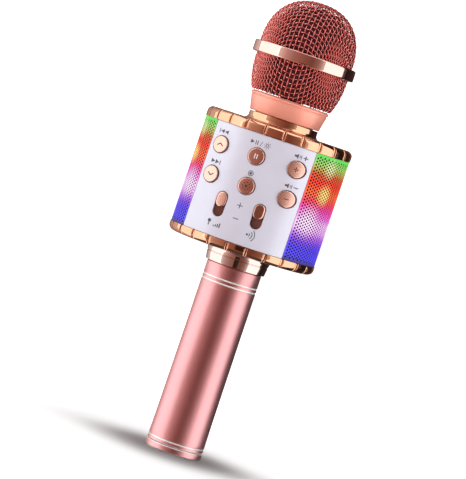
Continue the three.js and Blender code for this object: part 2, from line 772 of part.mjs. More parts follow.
const speakerBox = new THREE.Group();
speakerBox.add(
  part("top_bezel", bezel(BEZEL.top, BOX.top, FLANGE.boreR), FINISH.copperPlate),
  part("bottom_bezel", bezel(BEZEL.bottom, BOX.bottom, NIPPLE.innerR), FINISH.copperPlate),
  part("front_panel", frontPanel(), FINISH.silverPaint),
  part("rear_panel", rearPanel(), FINISH.silverPaint),
  part("chassis", chassis(), FINISH.blackPlastic),
);
for (const [side, centreDeg] of [
  ["left", 180],
  ["right", 0],
]) {
  speakerBox.add(
    part(`${side}_grille`, sideGrille(centreDeg), FINISH.grilleMetal),
    part(`${side}_light_diffuser`, lightDiffuser(centreDeg), FINISH.opal),
    part(`${side}_speaker_basket`, speakerBasket(side), FINISH.steel),
    part(`${side}_speaker_cone`, speakerCone(side), FINISH.paperCone),
    part(`${side}_speaker_magnet`, speakerMagnet(side), FINISH.steel),
    part(`${side}_front_led_strip`, ledStrip(centreDeg === 0 ? -LED.angle : 180 + LED.angle),
      FINISH.whitePlastic),
    part(`${side}_rear_led_strip`, ledStrip(centreDeg === 0 ? LED.angle : 180 - LED.angle),
      FINISH.whitePlastic),
  );
}

const controls = new THREE.Group();
controls.add(
  part("control_board", board(BOARD.front, BOARD.front + BOARD.thick), FINISH.circuitBoard),
);
for (const { name, x, z } of BUTTON_PLACES) {
  controls.add(
    part(name, button(x, z), FINISH.copperPlate),
    part(name.replace("button", "switch"), tactSwitch(x, z), FINISH.blackPlastic),
  );
}
for (const [name, x] of [
  ["mic_volume", -SLIDER.x],
  ["echo", SLIDER.x],
]) {
  controls.add(
    part(`${name}_knob`, sliderKnob(x), FINISH.copperPlate),
    part(`${name}_slide_pot`, slidePot(x), FINISH.steel),
  );
}

const rearPorts = new THREE.Group();
rearPorts.add(
  part("main_board", board(BOARD.rear - BOARD.thick, BOARD.rear), FINISH.circuitBoard),
  part("usb_socket", usbSocket(), FINISH.steel),
  part("aux_jack", auxJack(), FINISH.blackPlastic),
  part("card_slot", cardSlot(), FINISH.steel),
  part("power_switch_body", powerSwitchBody(), FINISH.steel),
  part("power_switch_knob", powerSwitchKnob(), FINISH.blackPlastic),
);

const handle = new THREE.Group();
handle.add(
  part("neck_collar", neckCollar(), FINISH.champagne),
  part("handle_tube", handleTube(), FINISH.roseAnodised),
  part("end_cap", endCap(), FINISH.roseAnodised),
  part("battery_cell", batteryCell(), FINISH.cellWrap),
  part("battery_holder", batteryHolder(), FINISH.blackPlastic),
  part("battery_spring", batterySpring(), FINISH.steel),
);

const microphone = new THREE.Group();
microphone.add(head, speakerBox, controls, rearPorts, handle);

export default microphone;
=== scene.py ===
import json
import math

import bpy
import numpy as np
from mathutils import Matrix, Vector, geometry, noise


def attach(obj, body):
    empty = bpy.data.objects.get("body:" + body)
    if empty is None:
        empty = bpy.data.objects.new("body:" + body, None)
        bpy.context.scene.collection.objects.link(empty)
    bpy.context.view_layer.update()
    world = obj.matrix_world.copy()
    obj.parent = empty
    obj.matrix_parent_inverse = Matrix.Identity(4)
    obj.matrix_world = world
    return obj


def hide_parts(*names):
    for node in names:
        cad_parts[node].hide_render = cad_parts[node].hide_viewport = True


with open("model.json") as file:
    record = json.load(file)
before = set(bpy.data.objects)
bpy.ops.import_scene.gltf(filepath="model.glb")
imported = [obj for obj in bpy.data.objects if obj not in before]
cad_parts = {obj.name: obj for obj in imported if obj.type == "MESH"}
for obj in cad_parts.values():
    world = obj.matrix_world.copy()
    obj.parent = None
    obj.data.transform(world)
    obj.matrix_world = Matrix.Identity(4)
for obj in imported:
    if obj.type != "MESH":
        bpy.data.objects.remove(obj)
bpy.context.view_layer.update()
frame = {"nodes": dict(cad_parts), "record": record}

# ---- Driving dimensions, in millimetres, as on the CAD frame ----
MM = 0.001
TURN = 144  # divisions round a turned piece

HANDLE = {"bottom_r": 15.3, "top_r": 14.9, "inner_r": 13.7, "seam": 4.15, "top": 103.3,
          "plain": (9, 91)}
GROOVE = {"depth": 0.42, "half": 0.42, "pitch": 2.25, "lower": 6.4, "upper": 93.6}
CAP = {"chamfer": 1.0, "recess_r": 9.5, "recess": 0.35, "floor": 3.0, "plug_r": 13.4,
       "plug_inner_r": 12.2, "plug_top": 9.0}
NIPPLE = {"bottom": 88.0, "r": 13.3, "inner_r": 11.5}
COLLAR = {"bottom_r": 16.2, "top_r": 17.1, "line": 107.9, "taper_top": 110.0, "flare_r": 18.6,
          "top": 111.9}
THREAD = {"pitch": 2.5, "depth": 0.7}

BOX = {"bottom": 117.0, "top": 174.7, "r": 39.7, "wall": 1.8, "half_deg": 43.7}
BEZEL = {"r": 40.0, "inner_r": 36.9, "edge": 3.0, "plate": 2.3, "notches": 24}
BEZEL_TOP = {"rim": 174.8, "plate_face": 180.5, "hole_r": 13.4}
BEZEL_BOTTOM = {"rim": 116.9, "plate_face": 112.0, "hole_r": 11.5}
NOTCH = {"half_width": 1.05, "depth": 0.8, "lip": 0.16, "rim": 0.07}
GRILLE = {"wall": 0.8, "half_deg": 46.0, "columns": 41, "hole_r": 0.55,
          "bevel": 0.07, "border": 0.9}

BUTTON = {"r": 4.3, "face_r": 40.9, "back": 26.2, "flange_r": 5.1, "flange": 0.8, "gap": 0.35}
COLUMN = 21.0
ROWS = {"upper": 163.0, "lower": 147.0}
SLIDER = {"x": 10.4, "z": 134.0, "width": 6.0, "length": 13.5, "travel": 4.8, "face_r": 40.5}
KNOB = {"width": 5.4, "length": 8.0, "skirt_half": 4.0, "skirt_front": 35.0, "skirt": 0.8,
        "skirt_lap": 0.6, "stem_half": (1, 1.5)}
BOARD_FRONT = 21.5
POT_HEIGHT = 6.0

# The printed signs: their size, how far they stand above a button, and their heights
SIGN = {"scale": 1.75, "wide_scale": 1.5, "mark_scale": 1.9, "rise": 6.9, "under_sliders": 123.6,
        "plus": 136.4, "minus": 129.4, "line": 0.22, "proud": 0.02}

PORT = {"x": 14.0, "z": 128.0}
USB = {"width": 7.5, "height": 2.7, "corner_r": 1.3}
JACK_R = 3.0
CARD_SLOT = {"width": 11.4, "half_height": 0.9}
POWER = {"z": 160.0, "half_travel": 1.5, "width": 4.6, "height": 3.4}
CLEAR = 0.3

FLANGE = {"fillet_r": 20.4, "r": 18.9, "foot": 180.6, "top": 184.9, "bore_r": 13.4,
          "nipple_r": 16.0, "nipple_top": 192.0}
HEAD_COLLAR = {"bottom": 185.2, "top": 195.7, "bottom_r": 19.2, "top_r": 21.3, "bore_r": 16.4}
BASKET = {"bottom": 196.0, "top": 214.8, "top_r": 25.4, "depth": 31.9, "draw": 3.6}
BAND = {"bottom": 215.1, "top": 221.2, "r": 27.8, "inner_r": 23.8, "edge": 0.9}
DOME = {"bottom": 221.5, "r": 25.7, "height": 28.2, "power": 2.3}
FOAM = {"r": 23.2, "wall": 5.0, "clearance": 2.0, "bottom": 196.4}
# The woven wire: sides round a wire, steps along it and how many wires the net reaches to each side
CLOTH = {"pitch": 2.5, "wire_r": 0.28, "crimp": 0.4, "inset": 0.72, "sides": 6, "steps": 4,
         "reach": 24}

# The glow painted on the fronts of the side grilles, and much weaker on the diffuser behind them:
# colours by height, from 0 at the foot to 1 at the top of the drum wall, and bright spots at angles
# round from each side
GLOW_BANDS = [
    (0.03, (0.04, 0.03, 0.2)),
    (0.07, (0.08, 0.06, 0.9)),
    (0.16, (0.09, 0.05, 0.85)),
    (0.21, (0.17, 0.06, 0.82)),
    (0.27, (0.45, 0.14, 0.82)),
    (0.33, (0.82, 0.42, 0.88)),
    (0.40, (0.86, 0.5, 0.86)),
    (0.46, (0.82, 0.16, 0.7)),
    (0.53, (0.86, 0.05, 0.38)),
    (0.59, (0.92, 0.05, 0.1)),
    (0.67, (0.95, 0.13, 0.02)),
    (0.77, (0.92, 0.03, 0.004)),
    (0.85, (0.65, 0.1, 0.01)),
    (0.89, (0.5, 0.36, 0.06)),
    (0.94, (0.34, 0.62, 0.12)),
    (1.0, (0.12, 0.62, 0.08)),
]
BRIGHT_SPOTS = [
    {"angle_deg": 25, "z": 154.5, "reach": 7.5, "peak": 0.95, "colour": (0.98, 0.72, 0.2)},
    {"angle_deg": 34, "z": 139.5, "reach": 11, "peak": 0.7, "colour": (0.98, 0.82, 0.98)},
    {"angle_deg": 27, "z": 168.5, "reach": 7, "peak": 0.6, "colour": (0.85, 0.95, 0.5)},
]


# ---- Meshes ----

def add_mesh(name, points, faces, material, sharp_deg=32):
    """A shaded mesh object from millimetre points."""
    mesh = bpy.data.meshes.new(name)
    mesh.from_pydata((np.asarray(points, dtype=float) * MM).tolist(), [], faces)
    mesh.materials.append(material)
    mesh.validate()
    mesh.polygons.foreach_set("use_smooth", [True] * len(mesh.polygons))
    mesh.set_sharp_from_angle(angle=math.radians(sharp_deg))
    obj = bpy.data.objects.new(name, mesh)
    bpy.context.collection.objects.link(obj)
    return obj


def install(obj, body, slot, *nodes):
    """Fixes a piece to its body and hides the CAD nodes it stands for."""
    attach(obj, body)
    if nodes:
        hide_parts(*nodes)


def joined(*parts):
    """Joins (points, faces) pairs into one."""
    points = []
    faces = []
    for part_points, part_faces in parts:
        start = len(points)
        points.extend([tuple(p) for p in part_points])
        faces.extend([tuple(start + i for i in face) for face in part_faces])
    return points, faces


def rounded(corners, steps=5):
    """A closed outline from (a, b, fillet) corners, each rounded with its own radius."""
    outline = []
    count = len(corners)
    for i, (a, b, fillet) in enumerate(corners):
        here = Vector((a, b))
        before = Vector(corners[i - 1][:2]) - here
        after = Vector(corners[(i + 1) % count][:2]) - here
        if fillet <= 0:
            outline.append((a, b))
            continue
        half = before.angle(after) / 2
        reach = min(fillet / math.tan(half), 0.49 * before.length, 0.49 * after.length)
        start = here + before.normalized() * reach
        end = here + after.normalized() * reach
        for k in range(steps + 1):
            t = k / steps
            curve = start * (1 - t) ** 2 + here * (2 * t * (1 - t)) + end * t ** 2
            outline.append(tuple(curve))
    return outline


def lathe(outline, count=TURN, closed=True):
    """Points and faces of an outline of (radius, height) turned about Z.
    A closed outline joins up with itself, and an open one starts and ends on the axis."""
    points = []
    rings = []
    for r, z in outline:
        if r < 1e-6:
            rings.append([len(points)] * count)
            points.append((0, 0, z))
            continue
        rings.append(list(range(len(points), len(points) + count)))
        angles = (2 * math.pi * k / count for k in range(count))
        points.extend((r * math.cos(a), r * math.sin(a), z) for a in angles)
    faces = []
    pairs = list(zip(rings, rings[1:]))
    if closed:
        pairs.append((rings[-1], rings[0]))
    for low, high in pairs:
        for k in range(count):
            following = (k + 1) % count
            corners = (low[k], low[following], high[following], high[k])
            face = tuple(dict.fromkeys(corners))
            if len(face) > 2:
                faces.append(face)
    return points, faces


def slab(outer, holes, curve_r, depth, fillet, grid=1.6, steps=3):
    """A plate in the XZ plane whose front follows a drum of radius curve_r and faces -Y.
    outer and holes are functions of an offset, giving loops of (x, z) grown by that offset.
    depth is how far the sides run back, as a number or a function of x."""
    def front(x, z, behind):
        return (x, behind - math.sqrt(curve_r * curve_r - x * x), z)

    def side_depth(x):
        return depth(x) if callable(depth) else depth

    points = []
    faces = []
    face_loops = []
    for index, loop in enumerate([outer, *holes]):
        grow = -1 if index == 0 else 1
        levels = []
        for k in range(steps + 1):
            angle = math.pi / 2 * k / steps
            offset = grow * fillet * (1 - math.sin(angle))
            behind = fillet * (1 - math.cos(angle))
            levels.append([front(x, z, behind) for x, z in loop(offset)])
        levels.append([front(x, z, side_depth(x)) for x, z in loop(0)])
        face_loops.append([(x, z) for x, y, z in levels[0]])
        count = len(levels[0])
        for level in levels:
            points.extend(level)
        start = len(points) - count * len(levels)
        for k in range(len(levels) - 1):
            for i in range(count):
                j = (i + 1) % count
                a = start + k * count
                b = a + count
                quad = (a + i, a + j, b + j, b + i)
                faces.append(quad if index else quad[::-1])
    inside = grid_points(face_loops, grid)
    flat = [Vector(p) for loop in face_loops for p in loop] + [Vector(p) for p in inside]
    edges = []
    first = 0
    for loop in face_loops:
        edges.extend((first + i, first + (i + 1) % len(loop)) for i in range(len(loop)))
        first += len(loop)
    out_points, _, out_faces, *_ = geometry.delaunay_2d_cdt(flat, edges, [], 0, 1e-5)
    start = len(points)
    points.extend(front(p.x, p.y, 0) for p in out_points)
    for face in out_faces:
        centre = sum((out_points[i] for i in face), Vector((0, 0))) / len(face)
        if not within(centre, face_loops[0]):
            continue
        if any(within(centre, loop) for loop in face_loops[1:]):
            continue
        a, b, c = (out_points[i] for i in face[:3])
        turn = (b - a).cross(c - a)
        ordered = face if turn > 0 else face[::-1]
        faces.append(tuple(start + i for i in ordered))
    return points, faces


def within(point, loop):
    """Whether a point is inside a loop, by counting the crossings to its right."""
    x, z = point
    inside = False
    for (ax, az), (bx, bz) in zip(loop, loop[1:] + loop[:1]):
        if (az > z) != (bz > z) and x < ax + (z - az) / (bz - az) * (bx - ax):
            inside = not inside
    return inside


def grid_points(loops, pitch):
    """Points on a grid inside the first loop, outside the others and clear of every edge."""
    xs = [p[0] for p in loops[0]]
    zs = [p[1] for p in loops[0]]
    edge = np.array([p for loop in loops for p in loop])
    found = []
    for x in np.arange(min(xs) + pitch / 2, max(xs), pitch):
        for z in np.arange(min(zs) + pitch / 2, max(zs), 2 * pitch):
            if np.min(np.hypot(edge[:, 0] - x, edge[:, 1] - z)) < 0.45 * pitch:
                continue
            if within((x, z), loops[0]) and not any(within((x, z), h) for h in loops[1:]):
                found.append((x, z))
    return found


def circle(x, z, r, count=56):
    """A loop function for a round outline."""
    def loop(offset):
        size = r + offset
        angles = [2 * math.pi * k / count for k in range(count)]
        return [(x + size * math.cos(a), z + size * math.sin(a)) for a in angles]
    return loop


def box_loop(x, z, half_x, half_z, corner, per_corner=8, edge_step=1.4):
    """A loop function for a rectangle with round corners."""
    def loop(offset):
        r = max(corner + offset, 0.01)
        points = []
        for quarter, (sx, sz) in enumerate([(1, 1), (-1, 1), (-1, -1), (1, -1)]):
            cx = x + sx * (half_x - corner)
            cz = z + sz * (half_z - corner)
            for k in range(per_corner + 1):
                a = math.pi / 2 * (quarter + k / per_corner)
                points.append((cx + r * math.cos(a), cz + r * math.sin(a)))
        return spread(points, edge_step)
    return loop


def spread(loop, step):
    """Adds points along the long edges of a loop."""
    points = []
    for (ax, az), (bx, bz) in zip(loop, loop[1:] + loop[:1]):
        parts = max(1, round(math.hypot(bx - ax, bz - az) / step))
        points.extend((ax + (bx - ax) * k / parts, az + (bz - az) * k / parts) for k in range(parts))
    return points


def facing_back(part):
    """Turns (points, faces) half a turn about Z, from the front of the drum to the back."""
    points, faces = part
    return [(-x, -y, z) for x, y, z in points], faces


def block(x0, x1, y0, y1, z0, z1):
    """Points and faces of a plain box."""
    points = [(x, y, z) for x in (x0, x1) for y in (y0, y1) for z in (z0, z1)]
    faces = [(0, 1, 3, 2), (4, 6, 7, 5), (0, 4, 5, 1), (2, 3, 7, 6), (0, 2, 6, 4), (1, 5, 7, 3)]
    return points, faces


# ---- Materials ----

def new_material(name):
    """An empty material with its node tree, Principled shader and output."""
    material = bpy.data.materials.new(name)
    material.use_nodes = True
    return material, material.node_tree, material.node_tree.nodes["Principled BSDF"]


def noise_node(tree, scale, detail=4, roughness=0.6, stretch=(1, 1, 1)):
    """Noise in object coordinates, in metres, stretched along an axis when asked."""
    mapping = tree.nodes.new("ShaderNodeMapping")
    mapping.inputs["Scale"].default_value = stretch
    tree.links.new(object_place(tree), mapping.inputs["Vector"])
    texture = tree.nodes.new("ShaderNodeTexNoise")
    texture.inputs["Scale"].default_value = scale
    texture.inputs["Detail"].default_value = detail
    texture.inputs["Roughness"].default_value = roughness
    tree.links.new(mapping.outputs["Vector"], texture.inputs["Vector"])
    return texture


def ramp_node(tree, source, stops, interpolation="LINEAR"):
    """A colour ramp with (position, colour) stops."""
    ramp = tree.nodes.new("ShaderNodeValToRGB")
    ramp.color_ramp.interpolation = interpolation
    elements = ramp.color_ramp.elements
    elements[0].position = stops[0][0]
    elements[0].color = (*stops[0][1], 1)
    elements[1].position = stops[-1][0]
    elements[1].color = (*stops[-1][1], 1)
    for position, colour in stops[1:-1]:
        element = elements.new(position)
        element.color = (*colour, 1)
    tree.links.new(source, ramp.inputs["Fac"])
    return ramp


def map_range(tree, source, source_span, target_span=(0.0, 1.0), smooth=False):
    """A factor that runs from one span of values to another, and stops at its ends."""
    node = tree.nodes.new("ShaderNodeMapRange")
    if smooth:
        node.interpolation_type = "SMOOTHSTEP"
    node.inputs["From Min"].default_value = source_span[0]
    node.inputs["From Max"].default_value = source_span[1]
    node.inputs["To Min"].default_value = target_span[0]
    node.inputs["To Max"].default_value = target_span[1]
    tree.links.new(source, node.inputs["Value"])
    return node.outputs["Result"]


def vector_math(tree, operation, source, second=(0, 0, 0)):
    """A vector maths node fed by a socket and, where it takes one, a fixed second vector."""
    node = tree.nodes.new("ShaderNodeVectorMath")
    node.operation = operation
    node.inputs[1].default_value = second
    tree.links.new(source, node.inputs[0])
    return node


def object_place(tree):
    """The socket that gives the place on the object, in metres."""
    return tree.nodes.new("ShaderNodeTexCoord").outputs["Object"]


def scaled(colour, factor):
    return tuple(min(c * factor, 1.0) for c in colour)


def add_bump(tree, shader, texture, strength, distance):
    bump = tree.nodes.new("ShaderNodeBump")
    bump.inputs["Strength"].default_value = strength
    bump.inputs["Distance"].default_value = distance
    tree.links.new(texture.outputs["Fac"], bump.inputs["Height"])
    tree.links.new(bump.outputs["Normal"], shader.inputs["Normal"])


def surface(name, colour, rough, metal=0.0, variation=0.08, scale=160, stretch=(1, 1, 1),
            bump=0.05, bump_distance=0.00005, rough_spread=0.06, coat=0.0, grain=None):
    """A general finish: colour and roughness that wander a little, with a fine relief."""
    material, tree, shader = new_material(name)
    broad = noise_node(tree, scale, 5, 0.6, stretch)
    stops = [(0.3, scaled(colour, 1 - variation)), (0.7, scaled(colour, 1 + variation))]
    tint = ramp_node(tree, broad.outputs["Fac"], stops)
    tree.links.new(tint.outputs["Color"], shader.inputs["Base Color"])
    rough_span = (max(rough - rough_spread, 0.02), rough + rough_spread)
    sheen = map_range(tree, broad.outputs["Fac"], (0.0, 1.0), rough_span)
    tree.links.new(sheen, shader.inputs["Roughness"])
    shader.inputs["Metallic"].default_value = metal
    shader.inputs["Coat Weight"].default_value = coat
    shader.inputs["Coat Roughness"].default_value = 0.08
    fine = noise_node(tree, grain or scale * 12, 3, 0.7, stretch)
    add_bump(tree, shader, fine, bump, bump_distance)
    return material


def lit_sheet(name, behind=False):
    """The side grilles' glow, painted on the front of each perforated sheet: bands of colour by height,
    with bright spots near the four corners.
    The diffuser behind a grille has the same colours, much weaker."""
    material, tree, shader = new_material(name)
    place = object_place(tree)
    split = tree.nodes.new("ShaderNodeSeparateXYZ")
    tree.links.new(place, split.inputs["Vector"])
    drift = noise_node(tree, 60, 2, 0.5)
    height = map_range(tree, split.outputs["Z"], (BOX["bottom"] * MM, BOX["top"] * MM))
    wander = tree.nodes.new("ShaderNodeMath")
    wander.operation = "MULTIPLY_ADD"
    wander.inputs[1].default_value = 0.04
    tree.links.new(drift.outputs["Fac"], wander.inputs[0])
    tree.links.new(height, wander.inputs[2])
    glow = ramp_node(tree, wander.outputs["Value"], GLOW_BANDS)
    quarter_place = vector_math(tree, "ABSOLUTE", place).outputs["Vector"]
    colour = glow.outputs["Color"]
    for spot in BRIGHT_SPOTS:
        colour = add_bright_spot(tree, quarter_place, colour, spot)
    # Painted glow: the grille sheet's front shines in these colours though it is no lamp, and the
    # diffuser behind glows the same, much weaker
    tree.links.new(colour, shader.inputs["Emission Color"])
    shader.inputs["Emission Strength"].default_value = 0.03 if behind else 1.15
    dark = [(0.2, (0.014, 0.012, 0.016)), (0.8, (0.022, 0.019, 0.025))]
    base = ramp_node(tree, drift.outputs["Fac"], dark)
    tree.links.new(base.outputs["Color"], shader.inputs["Base Color"])
    shader.inputs["Metallic"].default_value = 0.0
    shader.inputs["Roughness"].default_value = 0.5 if behind else 0.4
    shader.inputs["Specular IOR Level"].default_value = 0.12
    fine = noise_node(tree, 2500, 2)
    add_bump(tree, shader, fine, 0.1, 0.00003)
    return material


def add_bright_spot(tree, place, colour, spot):
    """Mixes a soft round spot into a colour, at the same place near all four corners of the drum."""
    angle = math.radians(spot["angle_deg"])
    centre = (BOX["r"] * math.cos(angle) * MM, BOX["r"] * math.sin(angle) * MM, spot["z"] * MM)
    distance = vector_math(tree, "DISTANCE", place, centre).outputs["Value"]
    reach = spot["reach"] * MM
    fall = map_range(tree, distance, (0.1 * reach, reach), (spot["peak"], 0.0), smooth=True)
    mix = tree.nodes.new("ShaderNodeMix")
    mix.data_type = "RGBA"
    mix.inputs["B"].default_value = (*spot["colour"], 1)
    tree.links.new(fall, mix.inputs["Factor"])
    tree.links.new(colour, mix.inputs["A"])
    return mix.outputs["Result"]


ANODISED = surface("rose_anodised", (0.8, 0.39, 0.4), 0.38, 1.0, 0.05, 70, (1, 1, 0.4),
                   bump=0.6, rough_spread=0.05, grain=2200)
COLLAR_ROSE = surface("collar_rose", (0.88, 0.36, 0.27), 0.42, 0.35, 0.04, 70, (1, 1, 6),
                      bump=0.14, rough_spread=0.04, coat=0.3, grain=2600)
MESH_WIRE = surface("rose_mesh", (0.92, 0.24, 0.21), 0.14, 1.0, 0.08, 260, bump=0.08, coat=1.0)
COPPER = surface("copper_plate", (0.78, 0.42, 0.26), 0.09, 1.0, 0.04, 40, bump=0.02,
                 rough_spread=0.02)
ROSE_GOLD = surface("rose_gold_plate", (0.86, 0.55, 0.48), 0.07, 1.0, 0.04, 40, bump=0.015,
                    rough_spread=0.02)
KEY_COPPER = surface("key_copper", (0.84, 0.5, 0.4), 0.26, 1.0, 0.05, 120, bump=0.04,
                     rough_spread=0.03)
CHAMPAGNE = surface("champagne_plate", (0.75, 0.57, 0.52), 0.08, 1.0, 0.04, 40, bump=0.015,
                    rough_spread=0.02)
BRIGHT_CUT = surface("bright_cut_metal", (0.95, 0.92, 0.9), 0.35, 0.6, 0.05, 400, (1, 1, 8),
                     bump=0.06)
SILVER = surface("silver_paint", (0.53, 0.515, 0.59), 0.34, 0.25, 0.03, 90, bump=0.05,
                 rough_spread=0.03, coat=0.2, grain=3200)
INK = surface("printed_ink", (0.06, 0.055, 0.075), 0.5, 0.0, 0.15, 700, bump=0.05)
BLACK = surface("black_plastic", (0.02, 0.02, 0.023), 0.45, 0.0, 0.2, 220, bump=0.12)
WHITE = surface("white_plastic", (0.75, 0.73, 0.7), 0.45, 0.0, 0.06, 220, bump=0.08)
BOARD = surface("circuit_board", (0.02, 0.13, 0.05), 0.35, 0.0, 0.3, 420, bump=0.15)
STEEL = surface("steel", (0.56, 0.57, 0.59), 0.28, 1.0, 0.08, 260, (1, 1, 5), bump=0.06)
PAPER = surface("paper_cone", (0.03, 0.03, 0.033), 0.8, 0.0, 0.25, 500, bump=0.3)
RUBBER = surface("rubber", (0.022, 0.022, 0.025), 0.7, 0.0, 0.2, 320, bump=0.15)
WRAP = surface("cell_wrap", (0.03, 0.16, 0.45), 0.3, 0.0, 0.1, 90, bump=0.04)
FOAM_SKIN = surface("foam", (0.05, 0.003, 0.005), 0.95, 0.0, 0.6, 900, bump=0.8,
                    bump_distance=0.0004, grain=1800)
DARK_HOLE = surface("dark_hole_wall", (0.03, 0.02, 0.03), 0.5, 0.4, 0.2, 900, bump=0.05)
# Painted shade: the raised button signs are coloured a dark brown that stands in for the shade along
# their relief
DARK_SIGN = surface("dark_sign", (0.13, 0.045, 0.035), 0.4, 0.6, 0.1, 300, bump=0.05)
SKIRT = surface("slider_skirt", (0.26, 0.12, 0.1), 0.35, 0.8, 0.1, 300, bump=0.05)
LIT = lit_sheet("lit_grille")
OPAL = lit_sheet("opal_diffuser", behind=True)


# ---- Head: woven wire over foam ----

def cloth_surface(r, height, foot, up):
    """A pressed cup as a function that is zero on its middle surface: a superellipse that runs
    straight on past its mouth. up is 1 for a dome and -1 for a bowl."""
    def value(p):
        rho = math.hypot(p[0], p[1])
        rise = max((p[2] - foot) * up, 0.0)
        return (rho / r) ** DOME["power"] + (rise / height) ** DOME["power"] - 1
    return value


def slope(value, p, step=0.01):
    """The gradient of a surface function."""
    return np.array([
        (value(p + step * axis) - value(p - step * axis)) / (2 * step) for axis in np.eye(3)
    ])


def next_node(value, a, b, corner, pitch):
    """The point on the surface that lies one pitch from both a and b, across from corner."""
    p = a + b - corner
    for _ in range(12):
        errors = np.array([
            value(p),
            (np.dot(p - a, p - a) - pitch ** 2) / pitch ** 2,
            (np.dot(p - b, p - b) - pitch ** 2) / pitch ** 2,
        ])
        jacobian = np.array([slope(value, p), 2 * (p - a) / pitch ** 2, 2 * (p - b) / pitch ** 2])
        try:
            change = np.linalg.solve(jacobian, errors)
        except np.linalg.LinAlgError:
            return None
        length = np.linalg.norm(change)
        p = p - change * min(1.0, 0.8 / max(length, 1e-9))
        if length < 1e-6:
            break
    return p if abs(value(p)) < 1e-3 and p[0] > -1e-3 and p[1] > -1e-3 else None


def cloth_quarter(value, top, up, pitch, count):
    """Nodes of the net over one quarter, as a dictionary from (i, j). The two straight runs
    lie in the XZ and YZ planes and every other node follows from its neighbours."""
    nodes = {(0, 0): np.array([0.0, 0.0, top])}
    for axis in (0, 1):
        previous = nodes[(0, 0)]
        for k in range(1, count):
            direction = np.zeros(3)
            direction[axis] = 1.0
            if k == 1:
                guess = previous + pitch * direction - np.array([0, 0, up * 0.1])
            else:
                older = nodes[(k - 2, 0)] if axis == 0 else nodes[(0, k - 2)]
                guess = 2 * previous - older
            for _ in range(20):
                guess = guess - slope(value, guess) * value(guess) / np.dot(
                    slope(value, guess), slope(value, guess))
                guess[1 - axis] = 0.0
                offset = guess - previous
                guess = previous + offset * pitch / np.linalg.norm(offset)
            previous = guess
            nodes[(k, 0) if axis == 0 else (0, k)] = guess
    for i in range(1, count):
        for j in range(1, count):
            a = nodes.get((i - 1, j))
            b = nodes.get((i, j - 1))
            corner = nodes.get((i - 1, j - 1))
            if a is None or b is None or corner is None:
                continue
            found = next_node(value, a, b, corner, pitch)
            if found is not None:
                nodes[(i, j)] = found
    return nodes


def smooth_run(nodes, steps):
    """Points on a smooth curve through a run of nodes, with steps to each gap."""
    padded = [2 * nodes[0] - nodes[1], *nodes, 2 * nodes[-1] - nodes[-2]]
    points = []
    for k in range(len(nodes) - 1):
        a, b, c, d = padded[k:k + 4]
        for s in range(steps):
            t = s / steps
            points.append(0.5 * (2 * b + (c - a) * t + (2 * a - 5 * b + 4 * c - d) * t ** 2
                                 + (3 * b - a - 3 * c + d) * t ** 3))
    points.append(nodes[-1])
    return points


def wire(run, value, phase, keep):
    """One crimped wire along a run of nodes, as (points, faces) pieces inside the kept heights."""
    steps = CLOTH["steps"]
    path = smooth_run(run, steps)
    centres = []
    outward = []
    for k, p in enumerate(path):
        normal = slope(value, p)
        normal = normal / np.linalg.norm(normal)
        wave = math.cos(math.pi * (k / steps + phase))
        centres.append(p + normal * wave * CLOTH["crimp"])
        outward.append(normal)
    pieces = []
    stretch = []
    for centre, normal in zip(centres, outward):
        if keep[0] <= centre[2] <= keep[1]:
            stretch.append((centre, normal))
        elif stretch:
            pieces.append(stretch)
            stretch = []
    pieces.append(stretch)
    return [tube(piece, CLOTH["wire_r"], CLOTH["sides"]) for piece in pieces if len(piece) > 2]


def tube(run, r, sides):
    """A round tube through (centre, normal) pairs, closed at its ends."""
    centres = [centre for centre, _ in run]
    points = []
    for k, (centre, normal) in enumerate(run):
        ahead = centres[min(k + 1, len(run) - 1)]
        behind = centres[max(k - 1, 0)]
        along = (ahead - behind) / np.linalg.norm(ahead - behind)
        across = np.cross(along, normal)
        across = across / np.linalg.norm(across)
        lift = np.cross(across, along)
        for s in range(sides):
            a = 2 * math.pi * s / sides
            points.append(centre + r * (math.cos(a) * lift + math.sin(a) * across))
    faces = []
    for k in range(len(run) - 1):
        for s in range(sides):
            low = k * sides
            high = low + sides
            t = (s + 1) % sides
            faces.append((low + s, low + t, high + t, high + s))
    last = (len(run) - 1) * sides
    faces.append(tuple(range(sides))[::-1])
    faces.append(tuple(range(last, last + sides)))
    return points, faces


def wire_cloth(name, r, height, foot, up, keep):
    """A cup of crimped square-weave wire cloth, kept between two heights."""
    value = cloth_surface(r, height, foot, up)
    count = CLOTH["reach"]
    quarter = cloth_quarter(value, foot + up * height, up, CLOTH["pitch"], count)

    def node(i, j):
        found = quarter.get((abs(i), abs(j)))
        if found is None:
            return None
        return np.array([math.copysign(found[0], i), math.copysign(found[1], j), found[2]])

    parts = []
    for crossing in (False, True):
        for fixed in range(1 - count, count):
            run = []
            first = 0
            for k in range(1 - count, count):
                point = node(k, fixed) if crossing else node(fixed, k)
                if point is None:
                    if len(run) > 1 and k > 0:
                        break
                    run = []
                    continue
                if not run:
                    first = k
                run.append(point)
            if len(run) > 2:
                phase = first + fixed + (1 if crossing else 0)
                parts.extend(wire(run, value, phase, keep))
    points, faces = joined(*parts)
    return add_mesh(name, points, faces, MESH_WIRE, 80)


